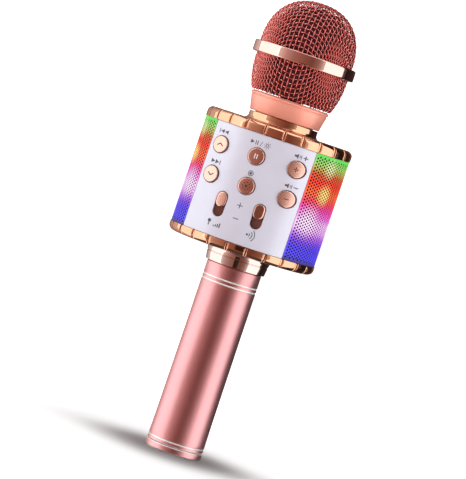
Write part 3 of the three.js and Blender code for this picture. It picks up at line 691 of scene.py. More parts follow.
def build_head():
    inset = CLOTH["inset"]
    dome_foot = DOME["bottom"]
    dome = wire_cloth("woven_wire_dome", DOME["r"] - inset, DOME["height"] - inset, dome_foot, 1,
                      (BAND["top"] - 1.5, DOME["bottom"] + DOME["height"]))
    install(dome, "grille", "rose_mesh", "grille_dome")
    bowl = wire_cloth("woven_wire_basket", BASKET["top_r"] - inset, BASKET["depth"], BASKET["top"],
                      -1, (HEAD_COLLAR["top"] + 0.2, BAND["bottom"] + 1.5))
    install(bowl, "grille", "rose_mesh", "grille_basket")

    edge = BAND["edge"]
    band = rounded([
        (BAND["inner_r"], BAND["bottom"], 0.2),
        (BAND["r"], BAND["bottom"], edge),
        (BAND["r"], BAND["top"], edge),
        (BAND["inner_r"], BAND["top"], 0.2),
    ], 8)
    piece = add_mesh("band_ring", *lathe(band, 180), ROSE_GOLD, 50)
    install(piece, "grille", "copper_plate", "grille_band")

    top = HEAD_COLLAR["top"]
    lip = 0.5
    collar = rounded([
        (HEAD_COLLAR["bore_r"], HEAD_COLLAR["bottom"], 0.2),
        (HEAD_COLLAR["bottom_r"] - 0.3, HEAD_COLLAR["bottom"], 0.15),
        (HEAD_COLLAR["bottom_r"], HEAD_COLLAR["bottom"] + lip, 0.3),
        (HEAD_COLLAR["top_r"] - 0.42, top - 2.5, 0.12),
        (HEAD_COLLAR["top_r"] - 0.72, top - 2.25, 0.08),
        (HEAD_COLLAR["top_r"] - 0.62, top - 1.95, 0.08),
        (HEAD_COLLAR["top_r"], top - 1.7, 0.25),
        (HEAD_COLLAR["top_r"], top - 0.9, 0.4),
        (HEAD_COLLAR["top_r"] - 0.9, top, 0.3),
        (HEAD_COLLAR["bore_r"], top, 0.2),
    ], 4)
    piece = add_mesh("head_collar", *lathe(collar, 180), COLLAR_ROSE, 50)
    install(piece, "grille", "rose_anodised", "grille_collar")
    build_foam()


def foam_outline():
    """The foam's open outline: from the middle of its hollow down to its foot, round it, and up
    the outside to the crown."""
    foot = FOAM["bottom"]
    outer = []
    for k in range(14):
        t = k / 13
        z = foot + (BASKET["top"] - foot) * t
        bowl = BASKET["top_r"] - BASKET["draw"] * (1 - t) ** 2
        outer.append((min(bowl - FOAM["clearance"], FOAM["r"]), z))
    exponent = 2 / DOME["power"]
    crown = DOME["height"] - FOAM["clearance"]
    crown_foot = DOME["bottom"] - 1
    for k in range(1, 30):
        a = math.pi / 2 * k / 30
        rise = crown * math.sin(a) ** exponent
        outer.append((FOAM["r"] * math.cos(a) ** exponent, crown_foot + rise))
    hollow = [(r - FOAM["wall"], z - (FOAM["wall"] if z > BAND["top"] else 0))
              for r, z in reversed(outer[:-6])]
    return [(0.0, hollow[0][1]), *hollow, *outer, (0.0, crown_foot + crown)]


def build_foam():
    """The foam windscreen, with the open-cell surface that shows between the wires."""
    points, faces = lathe(foam_outline(), 160, closed=False)
    rough = []
    for x, y, z in points:
        cell = noise.cell(Vector((x, y, z)) * 1.4)
        pit = noise.noise(Vector((x, y, z)) * 1.1) * 0.16 + (cell - 0.5) * 0.08
        scale = 1 + pit / max(math.hypot(x, y), 6)
        rough.append((x * scale, y * scale, z))
    foam = add_mesh("foam_windscreen", rough, faces, FOAM_SKIN, 60)
    install(foam, "windscreen", "foam", "windscreen_foam")


# ---- Necks, handle and cap ----

def threaded(r, bottom, top, going_up):
    """Outline points of a thread as plain ridges, from one end to the other."""
    points = []
    ridges = int((top - bottom - 1) / THREAD["pitch"])
    for k in range(ridges):
        z = bottom + 0.8 + THREAD["pitch"] * k
        points.extend([(r, z, 0.1), (r - THREAD["depth"], z + 0.7, 0.1),
                       (r - THREAD["depth"], z + 1.1, 0.1), (r, z + 1.8, 0.1)])
    return points if going_up else points[::-1]


def build_necks():
    f = FLANGE
    flange = rounded([
        (f["bore_r"], f["foot"], 0.2),
        (f["fillet_r"], f["foot"], 0.1),
        (f["fillet_r"] - 0.9, f["foot"] + 0.5, 0.5),
        (f["r"], f["foot"] + 1.7, 0.8),
        (f["r"], f["top"] - 0.1, 0.3),
        (f["nipple_r"], f["top"], 0.1),
        *threaded(f["nipple_r"], f["top"], f["nipple_top"], True),
        (f["nipple_r"] - 0.3, f["nipple_top"], 0.3),
        (f["bore_r"], f["nipple_top"], 0.2),
    ], 5)
    piece = add_mesh("neck_flange_ring", *lathe(flange), COPPER, 50)
    install(piece, "housing", "copper_plate", "neck_flange")

    shoulder = HANDLE["top"] + CLEAR
    neck = rounded([
        (NIPPLE["inner_r"], NIPPLE["bottom"], 0.2),
        (NIPPLE["r"] - 0.3, NIPPLE["bottom"], 0.3),
        *threaded(NIPPLE["r"], NIPPLE["bottom"], shoulder, True),
        (NIPPLE["r"], shoulder, 0.1),
        (COLLAR["bottom_r"], shoulder, 0.3),
        (COLLAR["bottom_r"] + 0.55, COLLAR["line"], 0.05),
        (COLLAR["bottom_r"] + 0.3, COLLAR["line"] + 0.25, 0.05),
        (COLLAR["bottom_r"] + 0.3, COLLAR["line"] + 0.45, 0.05),
        (COLLAR["bottom_r"] + 0.62, COLLAR["line"] + 0.7, 0.05),
        (COLLAR["top_r"], COLLAR["taper_top"], 1.0),
        (COLLAR["top_r"] + 0.5, COLLAR["taper_top"] + 1.2, 0.8),
        (COLLAR["flare_r"], COLLAR["top"], 0.1),
        (NIPPLE["inner_r"], COLLAR["top"], 0.2),
    ], 5)
    piece = add_mesh("neck_collar_ring", *lathe(neck), CHAMPAGNE, 50)
    install(piece, "housing", "champagne_plate", "neck_collar")


def handle_radius(z):
    t = (z - HANDLE["seam"]) / (HANDLE["top"] - HANDLE["seam"])
    return HANDLE["bottom_r"] + (HANDLE["top_r"] - HANDLE["bottom_r"]) * t


def paint_cuts(piece, bright_heights):
    """Gives the faces of the cut lines the bare bright metal."""
    piece.data.materials.append(BRIGHT_CUT)
    for face in piece.data.polygons:
        z = face.center.z / MM
        r = math.hypot(face.center.x, face.center.y) / MM
        near = any(abs(z - height) < half for height, half in bright_heights)
        if near and r > HANDLE["inner_r"] + 0.3:
            face.material_index = 1


def build_handle():
    bottom = HANDLE["seam"] + CLEAR / 2
    heights = [GROOVE["lower"], GROOVE["upper"], GROOVE["upper"] + GROOVE["pitch"]]
    half = GROOVE["half"]
    cuts = []
    for z in heights:
        r = handle_radius(z)
        cuts.extend([
            (r, z - half - 0.05, 0.0),
            (r - 0.04, z - half, 0.0),
            (r - GROOVE["depth"], z, 0.15),
            (r - 0.04, z + half, 0.0),
            (r, z + half + 0.05, 0.0),
        ])
    body = [(handle_radius(z), z, 0.0) for z in np.linspace(*HANDLE["plain"], 22)]
    tube_outline = rounded([
        (HANDLE["inner_r"], bottom, 0.1),
        (HANDLE["bottom_r"] - GROOVE["depth"], bottom, 0.05),
        (HANDLE["bottom_r"], bottom + half, 0.1),
        *cuts[:5],
        *body,
        *cuts[5:],
        (HANDLE["top_r"], HANDLE["top"] - 0.3, 0.2),
        (HANDLE["top_r"] - 0.3, HANDLE["top"], 0.1),
        (HANDLE["inner_r"], HANDLE["top"], 0.1),
    ], 4)
    piece = add_mesh("handle_tube_shell", *lathe(tube_outline, 180), ANODISED, 40)
    paint_cuts(piece, [(z, half) for z in heights] + [(bottom + half / 2, half / 2)])
    install(piece, "handle", "rose_anodised", "handle_tube")

    top = HANDLE["seam"] - CLEAR / 2
    r = HANDLE["bottom_r"]
    cap = rounded([
        (0, CAP["recess"], 0.0),
        (CAP["recess_r"] - 0.5, CAP["recess"], 0.2),
        (CAP["recess_r"], 0, 0.2),
        (r - CAP["chamfer"], 0, 0.3),
        (r - 0.06, CAP["chamfer"], 0.3),
        (r, CAP["chamfer"] + 0.1, 0.0),
        (r, top - half, 0.1),
        (r - GROOVE["depth"], top, 0.05),
        (CAP["plug_r"], top, 0.05),
        *[(a, b, 0.08) for a, b, _ in threaded(CAP["plug_r"], top, CAP["plug_top"], True)],
        (CAP["plug_r"], CAP["plug_top"], 0.2),
        (CAP["plug_inner_r"], CAP["plug_top"], 0.2),
        (CAP["plug_inner_r"], CAP["floor"], 0.2),
        (0, CAP["floor"], 0.0),
    ], 4)
    piece = add_mesh("end_cap_plug", *lathe(cap, 180, closed=False), ANODISED, 40)
    paint_cuts(piece, [(CAP["chamfer"] / 2, 0.55), (top - half / 2, half / 2)])
    install(piece, "handle", "rose_anodised", "end_cap")


# ---- Speaker box: bezels, panels and perforated grilles ----

def notch_angles():
    """Angles round a bezel, close together across each notch and wider apart between them."""
    pitch = 2 * math.pi / BEZEL["notches"]
    reach = (NOTCH["half_width"] + 0.25) / BEZEL["r"]
    fine = np.linspace(-reach, reach, 23)
    plain = np.linspace(reach, pitch - reach, 8)[1:-1]
    return [pitch * n + a for n in range(BEZEL["notches"]) for a in (*fine, *plain)]


def notch_depth(angle, z, ends):
    """How deep the upright notches are cut at a place on a bezel's edge."""
    pitch = 2 * math.pi / BEZEL["notches"]
    across = (angle / pitch - round(angle / pitch)) * pitch * BEZEL["r"]
    along = max(ends[0] - z, 0.0, z - ends[1])
    distance = math.hypot(across, along) / NOTCH["half_width"]
    if distance >= 1 + NOTCH["lip"]:
        return 0.0
    bowl = NOTCH["depth"] * math.sqrt(max(1 - min(distance, 1) ** 2, 0.0)) ** 0.9
    fade = 1 - max(distance - 1, 0.0) / NOTCH["lip"]
    return bowl + NOTCH["rim"] * fade ** 2


def bezel(name, dims, node):
    """An end ring: sharp next to the walls, rounded at the outside, with notches round it."""
    rim = dims["rim"]
    face = dims["plate_face"]
    up = 1 if face > rim else -1
    edge = BEZEL["edge"]
    straight = abs(face - rim) - edge
    outline = [(BEZEL["inner_r"], 0.0, 0.0), (BEZEL["r"] - 0.25, 0.0, 0.0)]
    outline.append((BEZEL["r"] - 0.07, 0.07, 0.0))
    outline.extend((BEZEL["r"], h, 1.0) for h in np.linspace(0.25, straight, 16))
    for k in range(1, 13):
        a = math.pi / 2 * k / 12
        outline.append((BEZEL["r"] - edge + edge * math.cos(a), straight + edge * math.sin(a),
                        1.0 if k < 9 else 0.0))
    full = abs(face - rim)
    outline.extend([(30, full, 0.0), (dims["hole_r"], full, 0.0)])
    outline.extend([(dims["hole_r"], full - BEZEL["plate"], 0.0)])
    outline.append((BEZEL["inner_r"], full - BEZEL["plate"], 0.0))
    ends = (0.25 + NOTCH["half_width"] * 0.75, straight + 0.9 * edge - NOTCH["half_width"])
    angles = notch_angles()
    points = []
    for r, h, notched in outline:
        for a in angles:
            depth = notch_depth(a, h, ends) if notched else 0.0
            size = r - depth
            turn = a - math.pi / 2
            points.append((size * math.cos(turn), size * math.sin(turn), rim + up * h))
    count = len(angles)
    faces = []
    for k in range(len(outline)):
        following = (k + 1) % len(outline)
        for i in range(count):
            j = (i + 1) % count
            quad = (k * count + i, k * count + j, following * count + j, following * count + i)
            faces.append(quad if up > 0 else quad[::-1])
    piece = add_mesh(name, points, faces, COPPER, 38)
    install(piece, "housing", "copper_plate", node)


BUTTONS = [
    ("previous", -COLUMN, ROWS["upper"]),
    ("play", 0.0, ROWS["upper"]),
    ("volume_up", COLUMN, ROWS["upper"]),
    ("next", -COLUMN, ROWS["lower"]),
    ("record", 0.0, ROWS["lower"]),
    ("volume_down", COLUMN, ROWS["lower"]),
]


def panel_outline():
    half_x = BOX["r"] * math.sin(math.radians(BOX["half_deg"]))
    middle = (BOX["bottom"] + BOX["top"]) / 2
    return box_loop(0, middle, half_x, (BOX["top"] - BOX["bottom"]) / 2, 0.3, 3, 1.2)


def panel_depth(x):
    """How far behind the front the inside of the wall lies, straight back at x."""
    inner = BOX["r"] - BOX["wall"]
    return math.sqrt(BOX["r"] ** 2 - x * x) - math.sqrt(inner ** 2 - x * x)


def build_panels():
    holes = [circle(x, z, BUTTON["r"] + BUTTON["gap"]) for _, x, z in BUTTONS]
    half_width = SLIDER["width"] / 2
    half_length = SLIDER["length"] / 2
    for x in (-SLIDER["x"], SLIDER["x"]):
        holes.append(box_loop(x, SLIDER["z"], half_width, half_length, half_width, 12))
    front = slab(panel_outline(), holes, BOX["r"], panel_depth, 0.32)
    install(add_mesh("front_panel_wall", *front, SILVER, 38), "housing", "silver_paint",
            "front_panel")

    power_half = POWER["width"] / 2 + POWER["half_travel"] + CLEAR
    rear_holes = [
        box_loop(PORT["x"], PORT["z"], USB["width"] / 2 + CLEAR, USB["height"] / 2 + CLEAR,
                 USB["corner_r"], 6),
        box_loop(-PORT["x"], PORT["z"], CARD_SLOT["width"] / 2 + CLEAR, CARD_SLOT["half_height"],
                 0.3, 4),
        circle(0, PORT["z"], JACK_R + CLEAR, 40),
        box_loop(0, POWER["z"], power_half, POWER["height"] / 2 + CLEAR, 0.4, 4),
    ]
    rear = facing_back(slab(panel_outline(), rear_holes, BOX["r"], panel_depth, 0.28))
    install(add_mesh("rear_panel_wall", *rear, SILVER, 38), "housing", "silver_paint",
            "rear_panel")


def perforated(centre_deg):
    """A drum wall with round holes in staggered columns: a ring of cells, each with eight outer
    points and sixteen round its hole, inside a plain border."""
    r = BOX["r"]
    columns = GRILLE["columns"]
    half = math.radians(GRILLE["half_deg"])
    border = GRILLE["border"] / r
    step = 2 * (half - border) / columns
    low = BOX["bottom"] + GRILLE["border"]
    high = BOX["top"] - GRILLE["border"]
    rows = round((high - low) / (step * r / 0.866))
    row_height = (high - low) / (rows + 0.5)
    centre = math.radians(centre_deg)

    def place(angle, z, radius):
        return (radius * math.cos(centre + angle), radius * math.sin(centre + angle), z)

    points = []
    faces = []

    def add_face(corners):
        start = len(points)
        points.extend(corners)
        faces.append(tuple(range(start, len(points))))

    cell_w = step / 2
    cell_h = row_height / 2
    outer = [(1, 0), (1, 1), (0, 1), (-1, 1), (-1, 0), (-1, -1), (0, -1), (1, -1)]
    bevel = GRILLE["bevel"]
    levels = [(GRILLE["hole_r"] + bevel, 0.0), (GRILLE["hole_r"], bevel),
              (GRILLE["hole_r"], GRILLE["wall"])]
    for column in range(columns):
        middle = -half + border + (column + 0.5) * step
        left = middle - cell_w
        right = middle + cell_w
        foot = low + (cell_h if column % 2 else 0)
        for row in range(rows):
            z = foot + (row + 0.5) * row_height
            start = len(points)
            points.extend(place(middle + a * cell_w, z + b * cell_h, r) for a, b in outer)
            for hole_r, behind in levels:
                for k in range(16):
                    turn = 2 * math.pi * k / 16
                    points.append(place(middle + hole_r * math.cos(turn) / r,
                                        z + hole_r * math.sin(turn), r - behind))
            for k in range(8):
                hole = [start + 8 + (2 * k + s) % 16 for s in (2, 1, 0)]
                faces.append((start + k, start + (k + 1) % 8, *hole))
            for level in range(len(levels) - 1):
                ring = start + 8 + 16 * level
                for k in range(16):
                    following = (k + 1) % 16
                    faces.append((ring + k, ring + following, ring + 16 + following, ring + 16 + k))
        top = foot + rows * row_height
        for bottom, rim in ((BOX["bottom"], foot), (top, BOX["top"])):
            add_face([place(left, bottom, r), place(right, bottom, r),
                      place(right, rim, r), place(left, rim, r)])
    for left, right in ((-half, -half + border), (half - border, half)):
        add_face([place(left, BOX["bottom"], r), place(right, BOX["bottom"], r),
                  place(right, BOX["top"], r), place(left, BOX["top"], r)])
    for angle, order in ((-half, 1), (half, -1)):
        edge = [place(angle, BOX["bottom"], r), place(angle, BOX["top"], r),
                place(angle, BOX["top"], r - GRILLE["wall"]),
                place(angle, BOX["bottom"], r - GRILLE["wall"])]
        add_face(edge[::order])
    return points, faces


def darken_holes(piece):
    """Gives the inside walls of the small holes the dark metal."""
    piece.data.materials.append(DARK_HOLE)
    for face in piece.data.polygons:
        outward = Vector((face.center.x, face.center.y, 0)).normalized()
        if abs(face.normal.dot(outward)) < 0.5 and len(face.vertices) == 4:
            face.material_index = 1


def build_grilles():
    for side, centre in (("left", 180), ("right", 0)):
        piece = add_mesh(f"{side}_perforated_sheet", *perforated(centre), LIT, 60)
        darken_holes(piece)
        install(piece, "housing", "lit_grille", f"{side}_grille")


# ---- Buttons, sliders and prints ----

def rod(r, y0, y1, x, z, count=40):
    """A closed cylinder along Y between two depths."""
    ring = circle(x, z, r, count)(0)
    points = [(a, y0, b) for a, b in ring] + [(a, y1, b) for a, b in ring]
    faces = [(i, (i + 1) % count, count + (i + 1) % count, count + i) for i in range(count)]
    faces.append(tuple(range(count))[::-1])
    faces.append(tuple(range(count, 2 * count)))
    return points, faces


def mark(outline, curve_r, depth=0.3):
    """A flat shape from a list of (x, z) points, laid on a drum of the given radius."""
    dense = spread(outline, 0.6)
    return slab(lambda offset: dense, [], curve_r, depth, 0.0, grid=0.7, steps=1)


def ring_mark(x, z, r, width, curve_r):
    return slab(circle(x, z, r, 36), [circle(x, z, r - width, 36)], curve_r, 0.3, 0.0,
                grid=0.7, steps=1)


def bar(x, z, width, height, lean=0.0):
    """Corners of a thin bar centred at x, z and leaned over by an angle."""
    c = math.cos(lean)
    s = math.sin(lean)
    corners = [(-width / 2, -height / 2), (width / 2, -height / 2),
               (width / 2, height / 2), (-width / 2, height / 2)]
    return [(x + a * c - b * s, z + a * s + b * c) for a, b in corners]


def triangle(x, z, width, height, direction=1):
    """Corners of a triangle that points along +X or, with direction -1, along -X."""
    corners = [(-width / 2, -height / 2), (width / 2, 0), (-width / 2, height / 2)]
    points = [(x + direction * a, z + b) for a, b in corners]
    return points if direction > 0 else points[::-1]


def chevron(x, z, size, direction):
    """An open angle that points up or down, as two leaned bars."""
    lean = math.radians(38) * direction
    reach = size * 0.36
    return [bar(x - reach, z, size, size * 0.26, lean), bar(x + reach, z, size, size * 0.26, -lean)]


def button_icons(name, x, z):
    """The raised sign on each button."""
    r = BUTTON["face_r"] + 0.06
    if name == "previous":
        shapes = chevron(x, z, 2.2, 1)
    elif name == "next":
        shapes = chevron(x, z, 2.2, -1)
    elif name == "play":
        shapes = [bar(x - 0.62, z, 0.5, 2.5), bar(x + 0.62, z, 0.5, 2.5)]
    elif name == "volume_up":
        shapes = [bar(x, z, 2.5, 0.46), bar(x, z + 0.8, 0.46, 0.95), bar(x, z - 0.8, 0.46, 0.95)]
    elif name == "volume_down":
        shapes = [bar(x, z, 2.5, 0.46)]
    else:
        dots = [circle(x + 1.9 * math.cos(a), z + 1.9 * math.sin(a), 0.42, 12)(0)
                for a in np.arange(0, 2 * math.pi, math.pi / 4)]
        shapes = [circle(x, z, 0.8, 20)(0), *dots]
    return [mark(shape, r, 0.2) for shape in shapes]


def build_buttons():
    for name, x, z in BUTTONS:
        def back(at):
            return math.sqrt(BUTTON["face_r"] ** 2 - at * at) - BUTTON["back"]
        cap = slab(circle(x, z, BUTTON["r"], 64), [], BUTTON["face_r"], back, 0.55, 0.9, 6)
        inner = BOX["r"] - BOX["wall"]
        flange_front = -math.sqrt(inner ** 2 - (abs(x) + BUTTON["flange_r"]) ** 2) + CLEAR
        flange = rod(BUTTON["flange_r"], flange_front, flange_front + BUTTON["flange"], x, z)
        piece = add_mesh(f"{name}_key_cap", *joined(cap, flange), KEY_COPPER, 40)
        install(piece, f"{name}_key", "copper_plate", f"{name}_button")
        # The dark brown of every sign but play's is painted shade along the raised relief
        finish = BRIGHT_CUT if name == "play" else DARK_SIGN
        icon = add_mesh(f"{name}_key_sign", *joined(*button_icons(name, x, z)), finish, 40)
        install(icon, f"{name}_key", "copper_plate")


def build_sliders():
    z = SLIDER["z"] + SLIDER["length"] / 2 - KNOB["length"] / 2 - CLEAR
    skirt_low = SLIDER["z"] - SLIDER["length"] / 2 - KNOB["skirt_lap"]
    skirt_high = SLIDER["z"] + SLIDER["length"] / 2 + SLIDER["travel"] + KNOB["skirt_lap"]
    for name, x in (("mic_volume", -SLIDER["x"]), ("echo", SLIDER["x"])):
        half = KNOB["width"] / 2

        def back(at):
            return math.sqrt(SLIDER["face_r"] ** 2 - at * at) - KNOB["skirt_front"]
        oval = slab(box_loop(x, z, half, KNOB["length"] / 2, half, 14), [], SLIDER["face_r"],
                    back, 0.7, 0.8, 6)
        stem_end = BOARD_FRONT + POT_HEIGHT + CLEAR
        stem_x, stem_z = KNOB["stem_half"]
        stem = block(x - stem_x, x + stem_x, -KNOB["skirt_front"] + 0.5, -stem_end,
                     z - stem_z, z + stem_z)
        knob = add_mesh(f"{name}_slider_cap", *joined(oval, stem), KEY_COPPER, 40)
        install(knob, f"{name}_slider", "copper_plate", f"{name}_knob")
        front = -KNOB["skirt_front"]
        skirt = block(x - KNOB["skirt_half"], x + KNOB["skirt_half"], front,
                      front + KNOB["skirt"], skirt_low, skirt_high)
        piece = add_mesh(f"{name}_slider_skirt", *skirt, SKIRT, 30)
        install(piece, f"{name}_slider", "copper_plate")



def print_sign(name, x, z, outlines, rings=(), rear=False, scale=SIGN["scale"]):
    """Thin ink shapes on a panel, drawn round their own centre and placed at x, z."""
    r = BOX["r"] + SIGN["proud"]
    shapes = [mark([(x + scale * a, z + scale * b) for a, b in outline], r)
              for outline in outlines]
    shapes += [ring_mark(x + scale * a, z + scale * b, scale * size, scale * width, r)
               for a, b, size, width in rings]
    marks = joined(*shapes)
    piece = add_mesh(name, *(facing_back(marks) if rear else marks), INK, 40)
    install(piece, "housing", "printed_ink")


def plus(x, z, size, width):
    """A plus sign as three bars that meet without overlapping."""
    arm = (size - width) / 2
    offset = (size + width) / 4
    return [bar(x, z, size, width), bar(x, z + offset, width, arm), bar(x, z - offset, width, arm)]


def speaker_sign(x, z):
    """A small loudspeaker with two waves."""
    body = [(x - 0.9, z - 0.3), (x - 0.4, z - 0.3), (x + 0.2, z - 0.75), (x + 0.2, z + 0.75),
            (x - 0.4, z + 0.3), (x - 0.9, z + 0.3)]
    return [body, bar(x + 0.6, z, 0.2, 0.7), bar(x + 1.0, z, 0.2, 1.2)]


def sector(x, z, r, width, half_angle):
    """A short arc opening towards +X."""
    angles = np.linspace(-half_angle, half_angle, 9)
    outer = [(x + r * math.cos(a), z + r * math.sin(a)) for a in angles]
    inner = [(x + (r - width) * math.cos(a), z + (r - width) * math.sin(a)) for a in angles[::-1]]
    return outer + inner


def build_prints():
    upper = ROWS["upper"] + SIGN["rise"]
    lower = ROWS["lower"] + SIGN["rise"]
    rays = [bar(2.5 + 1.0 * math.cos(a), 1.0 * math.sin(a), 0.42, 0.18, a)
            for a in np.arange(0, 2 * math.pi, math.pi / 4)]
    print_sign("print_previous", -COLUMN, upper, [
        bar(-1.75, 0, 0.26, 1.3),
        triangle(-0.8, 0, 1.3, 1.3, -1),
        triangle(0.65, 0, 1.3, 1.3, -1),
    ])
    print_sign("print_play_and_light", 0, upper, [
        triangle(-2.9, 0, 1.3, 1.5),
        bar(-1.65, 0, 0.3, 1.5),
        bar(-1.0, 0, 0.3, 1.5),
        bar(0.3, 0, 0.2, 1.8, -0.35),
        *rays,
    ], [(2.5, 0, 0.6, SIGN["line"])], scale=SIGN["wide_scale"])
    print_sign("print_volume_up", COLUMN, upper, [*speaker_sign(-0.8, 0), *plus(1.4, 0, 1.3, 0.28)])
    print_sign("print_next", -COLUMN, lower, [
        triangle(-0.65, 0, 1.3, 1.3),
        triangle(0.8, 0, 1.3, 1.3),
        bar(1.75, 0, 0.26, 1.3),
    ])
    print_sign("print_record", 0, lower, [circle(0, 0, 0.42, 24)(0)], [(0, 0, 0.85, SIGN["line"])])
    print_sign("print_volume_down", COLUMN, lower,
               [*speaker_sign(-0.8, 0), bar(1.4, 0, 1.3, 0.28)])
    print_sign("print_more", 0, SIGN["plus"], plus(0, 0, 1.6, 0.24), scale=SIGN["mark_scale"])
    print_sign("print_less", 0, SIGN["minus"], [bar(0, 0, 1.6, 0.24)], scale=SIGN["mark_scale"])
    ramp = [bar(0.1 + 0.62 * k, -0.75 + 0.16 * k, 0.36, 0.4 + 0.32 * k) for k in range(4)]
    print_sign("print_microphone_level", -SLIDER["x"], SIGN["under_sliders"], [
        circle(-1.6, 0.4, 0.55, 20)(0),
        bar(-1.6, -0.6, 0.36, 0.8),
        *ramp,
    ])
    print_sign("print_echo", SLIDER["x"], SIGN["under_sliders"], [
        circle(-1.3, 0, 0.32, 16)(0),
        *[sector(-1.2, 0, 0.75 * k, 0.24, 0.85) for k in range(1, 4)],
    ])
    build_rear_prints()


def build_rear_prints():
    """Signs over the ports and over the power switch, seen from behind."""
    z = PORT["z"] + 4.6
    bolt = [(0.35, 1.0), (-0.7, -0.15), (-0.05, -0.15), (-0.35, -1.0), (0.7, 0.15), (0.05, 0.15)]
    card = [(-0.7, -1), (0.7, -1), (0.7, 1), (-0.2, 1), (-0.7, 0.5)]
    print_sign("print_charge", PORT["x"], z, [bolt], rear=True)
    print_sign("print_sound_in", 0, z + 0.6, [circle(0, 0, 0.3, 16)(0)], [(0, 0, 0.85, SIGN["line"])],
               rear=True)
    print_sign("print_card", -PORT["x"], z, [card], rear=True, scale=1.2)
    print_sign("print_power", 0, POWER["z"] + 5, [bar(0, 0.75, 0.26, 1.0)], [(0, 0, 0.9, SIGN["line"])],
               rear=True)


# ---- CAD nodes that are shown as they are ----

def finish_cad_nodes():
    """Gives each CAD node its procedural finish, and fine edges where they can be seen."""
    by_slot = {
        "rose_anodised": ANODISED, "rose_mesh": MESH_WIRE, "copper_plate": COPPER,
        "champagne_plate": CHAMPAGNE, "silver_paint": SILVER, "printed_ink": INK,
        "lit_grille": LIT, "opal_diffuser": OPAL, "black_plastic": BLACK,
        "white_plastic": WHITE, "foam": FOAM_SKIN, "circuit_board": BOARD, "steel": STEEL,
        "paper_cone": PAPER, "rubber": RUBBER, "cell_wrap": WRAP,
    }
    slots = {part["node"]: part["material_slot"] for part in frame["record"]["subparts"]}
    for node, obj in frame["nodes"].items():
        obj.data.materials.clear()
        obj.data.materials.append(by_slot[slots[node]])
    for node in ("usb_socket", "aux_jack", "card_slot", "power_switch_knob"):
        bevel = frame["nodes"][node].modifiers.new("edges", "BEVEL")
        bevel.width = 0.12 * MM
        bevel.segments = 3
        bevel.limit_method = "ANGLE"
        bevel.angle_limit = math.radians(40)
        bevel.use_clamp_overlap = True


# ---- Camera, light and surroundings ----

def look_from(position, target, roll_deg):
    """A matrix that looks from one point at another, rolled about the line of sight."""
    direction = (Vector(target) - Vector(position)).normalized()
    turn = direction.to_track_quat("-Z", "Y").to_matrix().to_4x4()
    roll = Matrix.Rotation(math.radians(roll_deg), 4, "Z")
    return Matrix.Translation(position) @ turn @ roll


# The camera: its angle round the object, then lengths in metres, roll in degrees and lens in mm
AZIMUTH = math.radians(11)
VIEW = {"distance": 1.5, "height": 0.185, "target_z": 0.117, "shift": 0.0055, "roll": 18.6,
        "lens": 214}


def build_camera():
    data = bpy.data.cameras.new("camera")
    data.lens = VIEW["lens"]
    camera = bpy.data.objects.new("camera", data)
    bpy.context.collection.objects.link(camera)
    position = (VIEW["distance"] * math.sin(AZIMUTH), -VIEW["distance"] * math.cos(AZIMUTH),
                VIEW["height"])
    target = (-VIEW["shift"] * math.cos(AZIMUTH), -VIEW["shift"] * math.sin(AZIMUTH),
              VIEW["target_z"])
    camera.matrix_world = look_from(position, target, VIEW["roll"])
    bpy.context.scene.camera = camera


def camera_side(angle_deg, distance):
    """A place at an angle counted round Z from the camera, clockwise seen from above."""
    a = AZIMUTH + math.radians(angle_deg)
    return (distance * math.sin(a), -distance * math.cos(a))


def softbox(name, from_deg, to_deg, distance, bottom, top, power):
    """An upright area light whose width spans two angles seen from the object."""
    x0, y0 = camera_side(from_deg, distance)
    x1, y1 = camera_side(to_deg, distance)
    data = bpy.data.lights.new(name, "AREA")
    data.shape = "RECTANGLE"
    data.size = math.hypot(x1 - x0, y1 - y0)
    data.size_y = top - bottom
    data.energy = power
    light = bpy.data.objects.new(name, data)
    bpy.context.collection.objects.link(light)
    centre = ((x0 + x1) / 2, (y0 + y1) / 2, (bottom + top) / 2)
    light.matrix_world = look_from(centre, (0, 0, centre[2]), 0)
    return light


def stage_piece(name, points, faces, material):
    """A mesh, in metres, that belongs to the studio and not to the object."""
    mesh = bpy.data.meshes.new(name)
    mesh.from_pydata(points, [], faces)
    mesh.materials.append(material)
    obj = bpy.data.objects.new(name, mesh)
    bpy.context.collection.objects.link(obj)
    return obj


def glowing_material(name, colour, strength):
    """A matt finish with a white glow of its own."""
    material, tree, shader = new_material(name)
    shader.inputs["Base Color"].default_value = (*colour, 1)
    shader.inputs["Roughness"].default_value = 0.9
    shader.inputs["Specular IOR Level"].default_value = 0.0
    shader.inputs["Emission Color"].default_value = (1, 1, 1, 1)
    shader.inputs["Emission Strength"].default_value = strength
    return material


def floor_material():
    """A pale floor with a painted soft contact shadow by the foot: its colour darkens to grey towards
    the foot, and its own glow fades out there and brightens it to plain white further out.
    """
    material = glowing_material("floor", STAGE["colour"], 1.0)
    tree = material.node_tree
    shader = tree.nodes["Principled BSDF"]
    distance = vector_math(tree, "LENGTH", object_place(tree)).outputs["Value"]
    # Painted light and shade: the floor's glow fades out towards the foot, and its colour darkens to
    # the grey of a painted shadow by the foot
    glow = map_range(tree, distance, STAGE["glow_reach"], (0.0, 1.1))
    tree.links.new(glow, shader.inputs["Emission Strength"])
    near = map_range(tree, distance, STAGE["painted_shadow_reach"], smooth=True)
    shade = ramp_node(tree, near, [(0.0, STAGE["painted_shadow_colour"]), (1.0, STAGE["colour"])])
    tree.links.new(shade.outputs["Color"], shader.inputs["Base Color"])
    return material


# The floor and backdrop, in metres from the foot, with the grey of the floor's painted shadow and how
# far that painted shadow and the floor's glow reach
STAGE = {"reach": 5.0, "height": 4.0, "sides": 48, "colour": (0.85, 0.85, 0.85),
         "painted_shadow_colour": (0.3, 0.29, 0.29), "painted_shadow_reach": (0.012, 0.06),
         "glow_reach": (0.03, 0.22)}

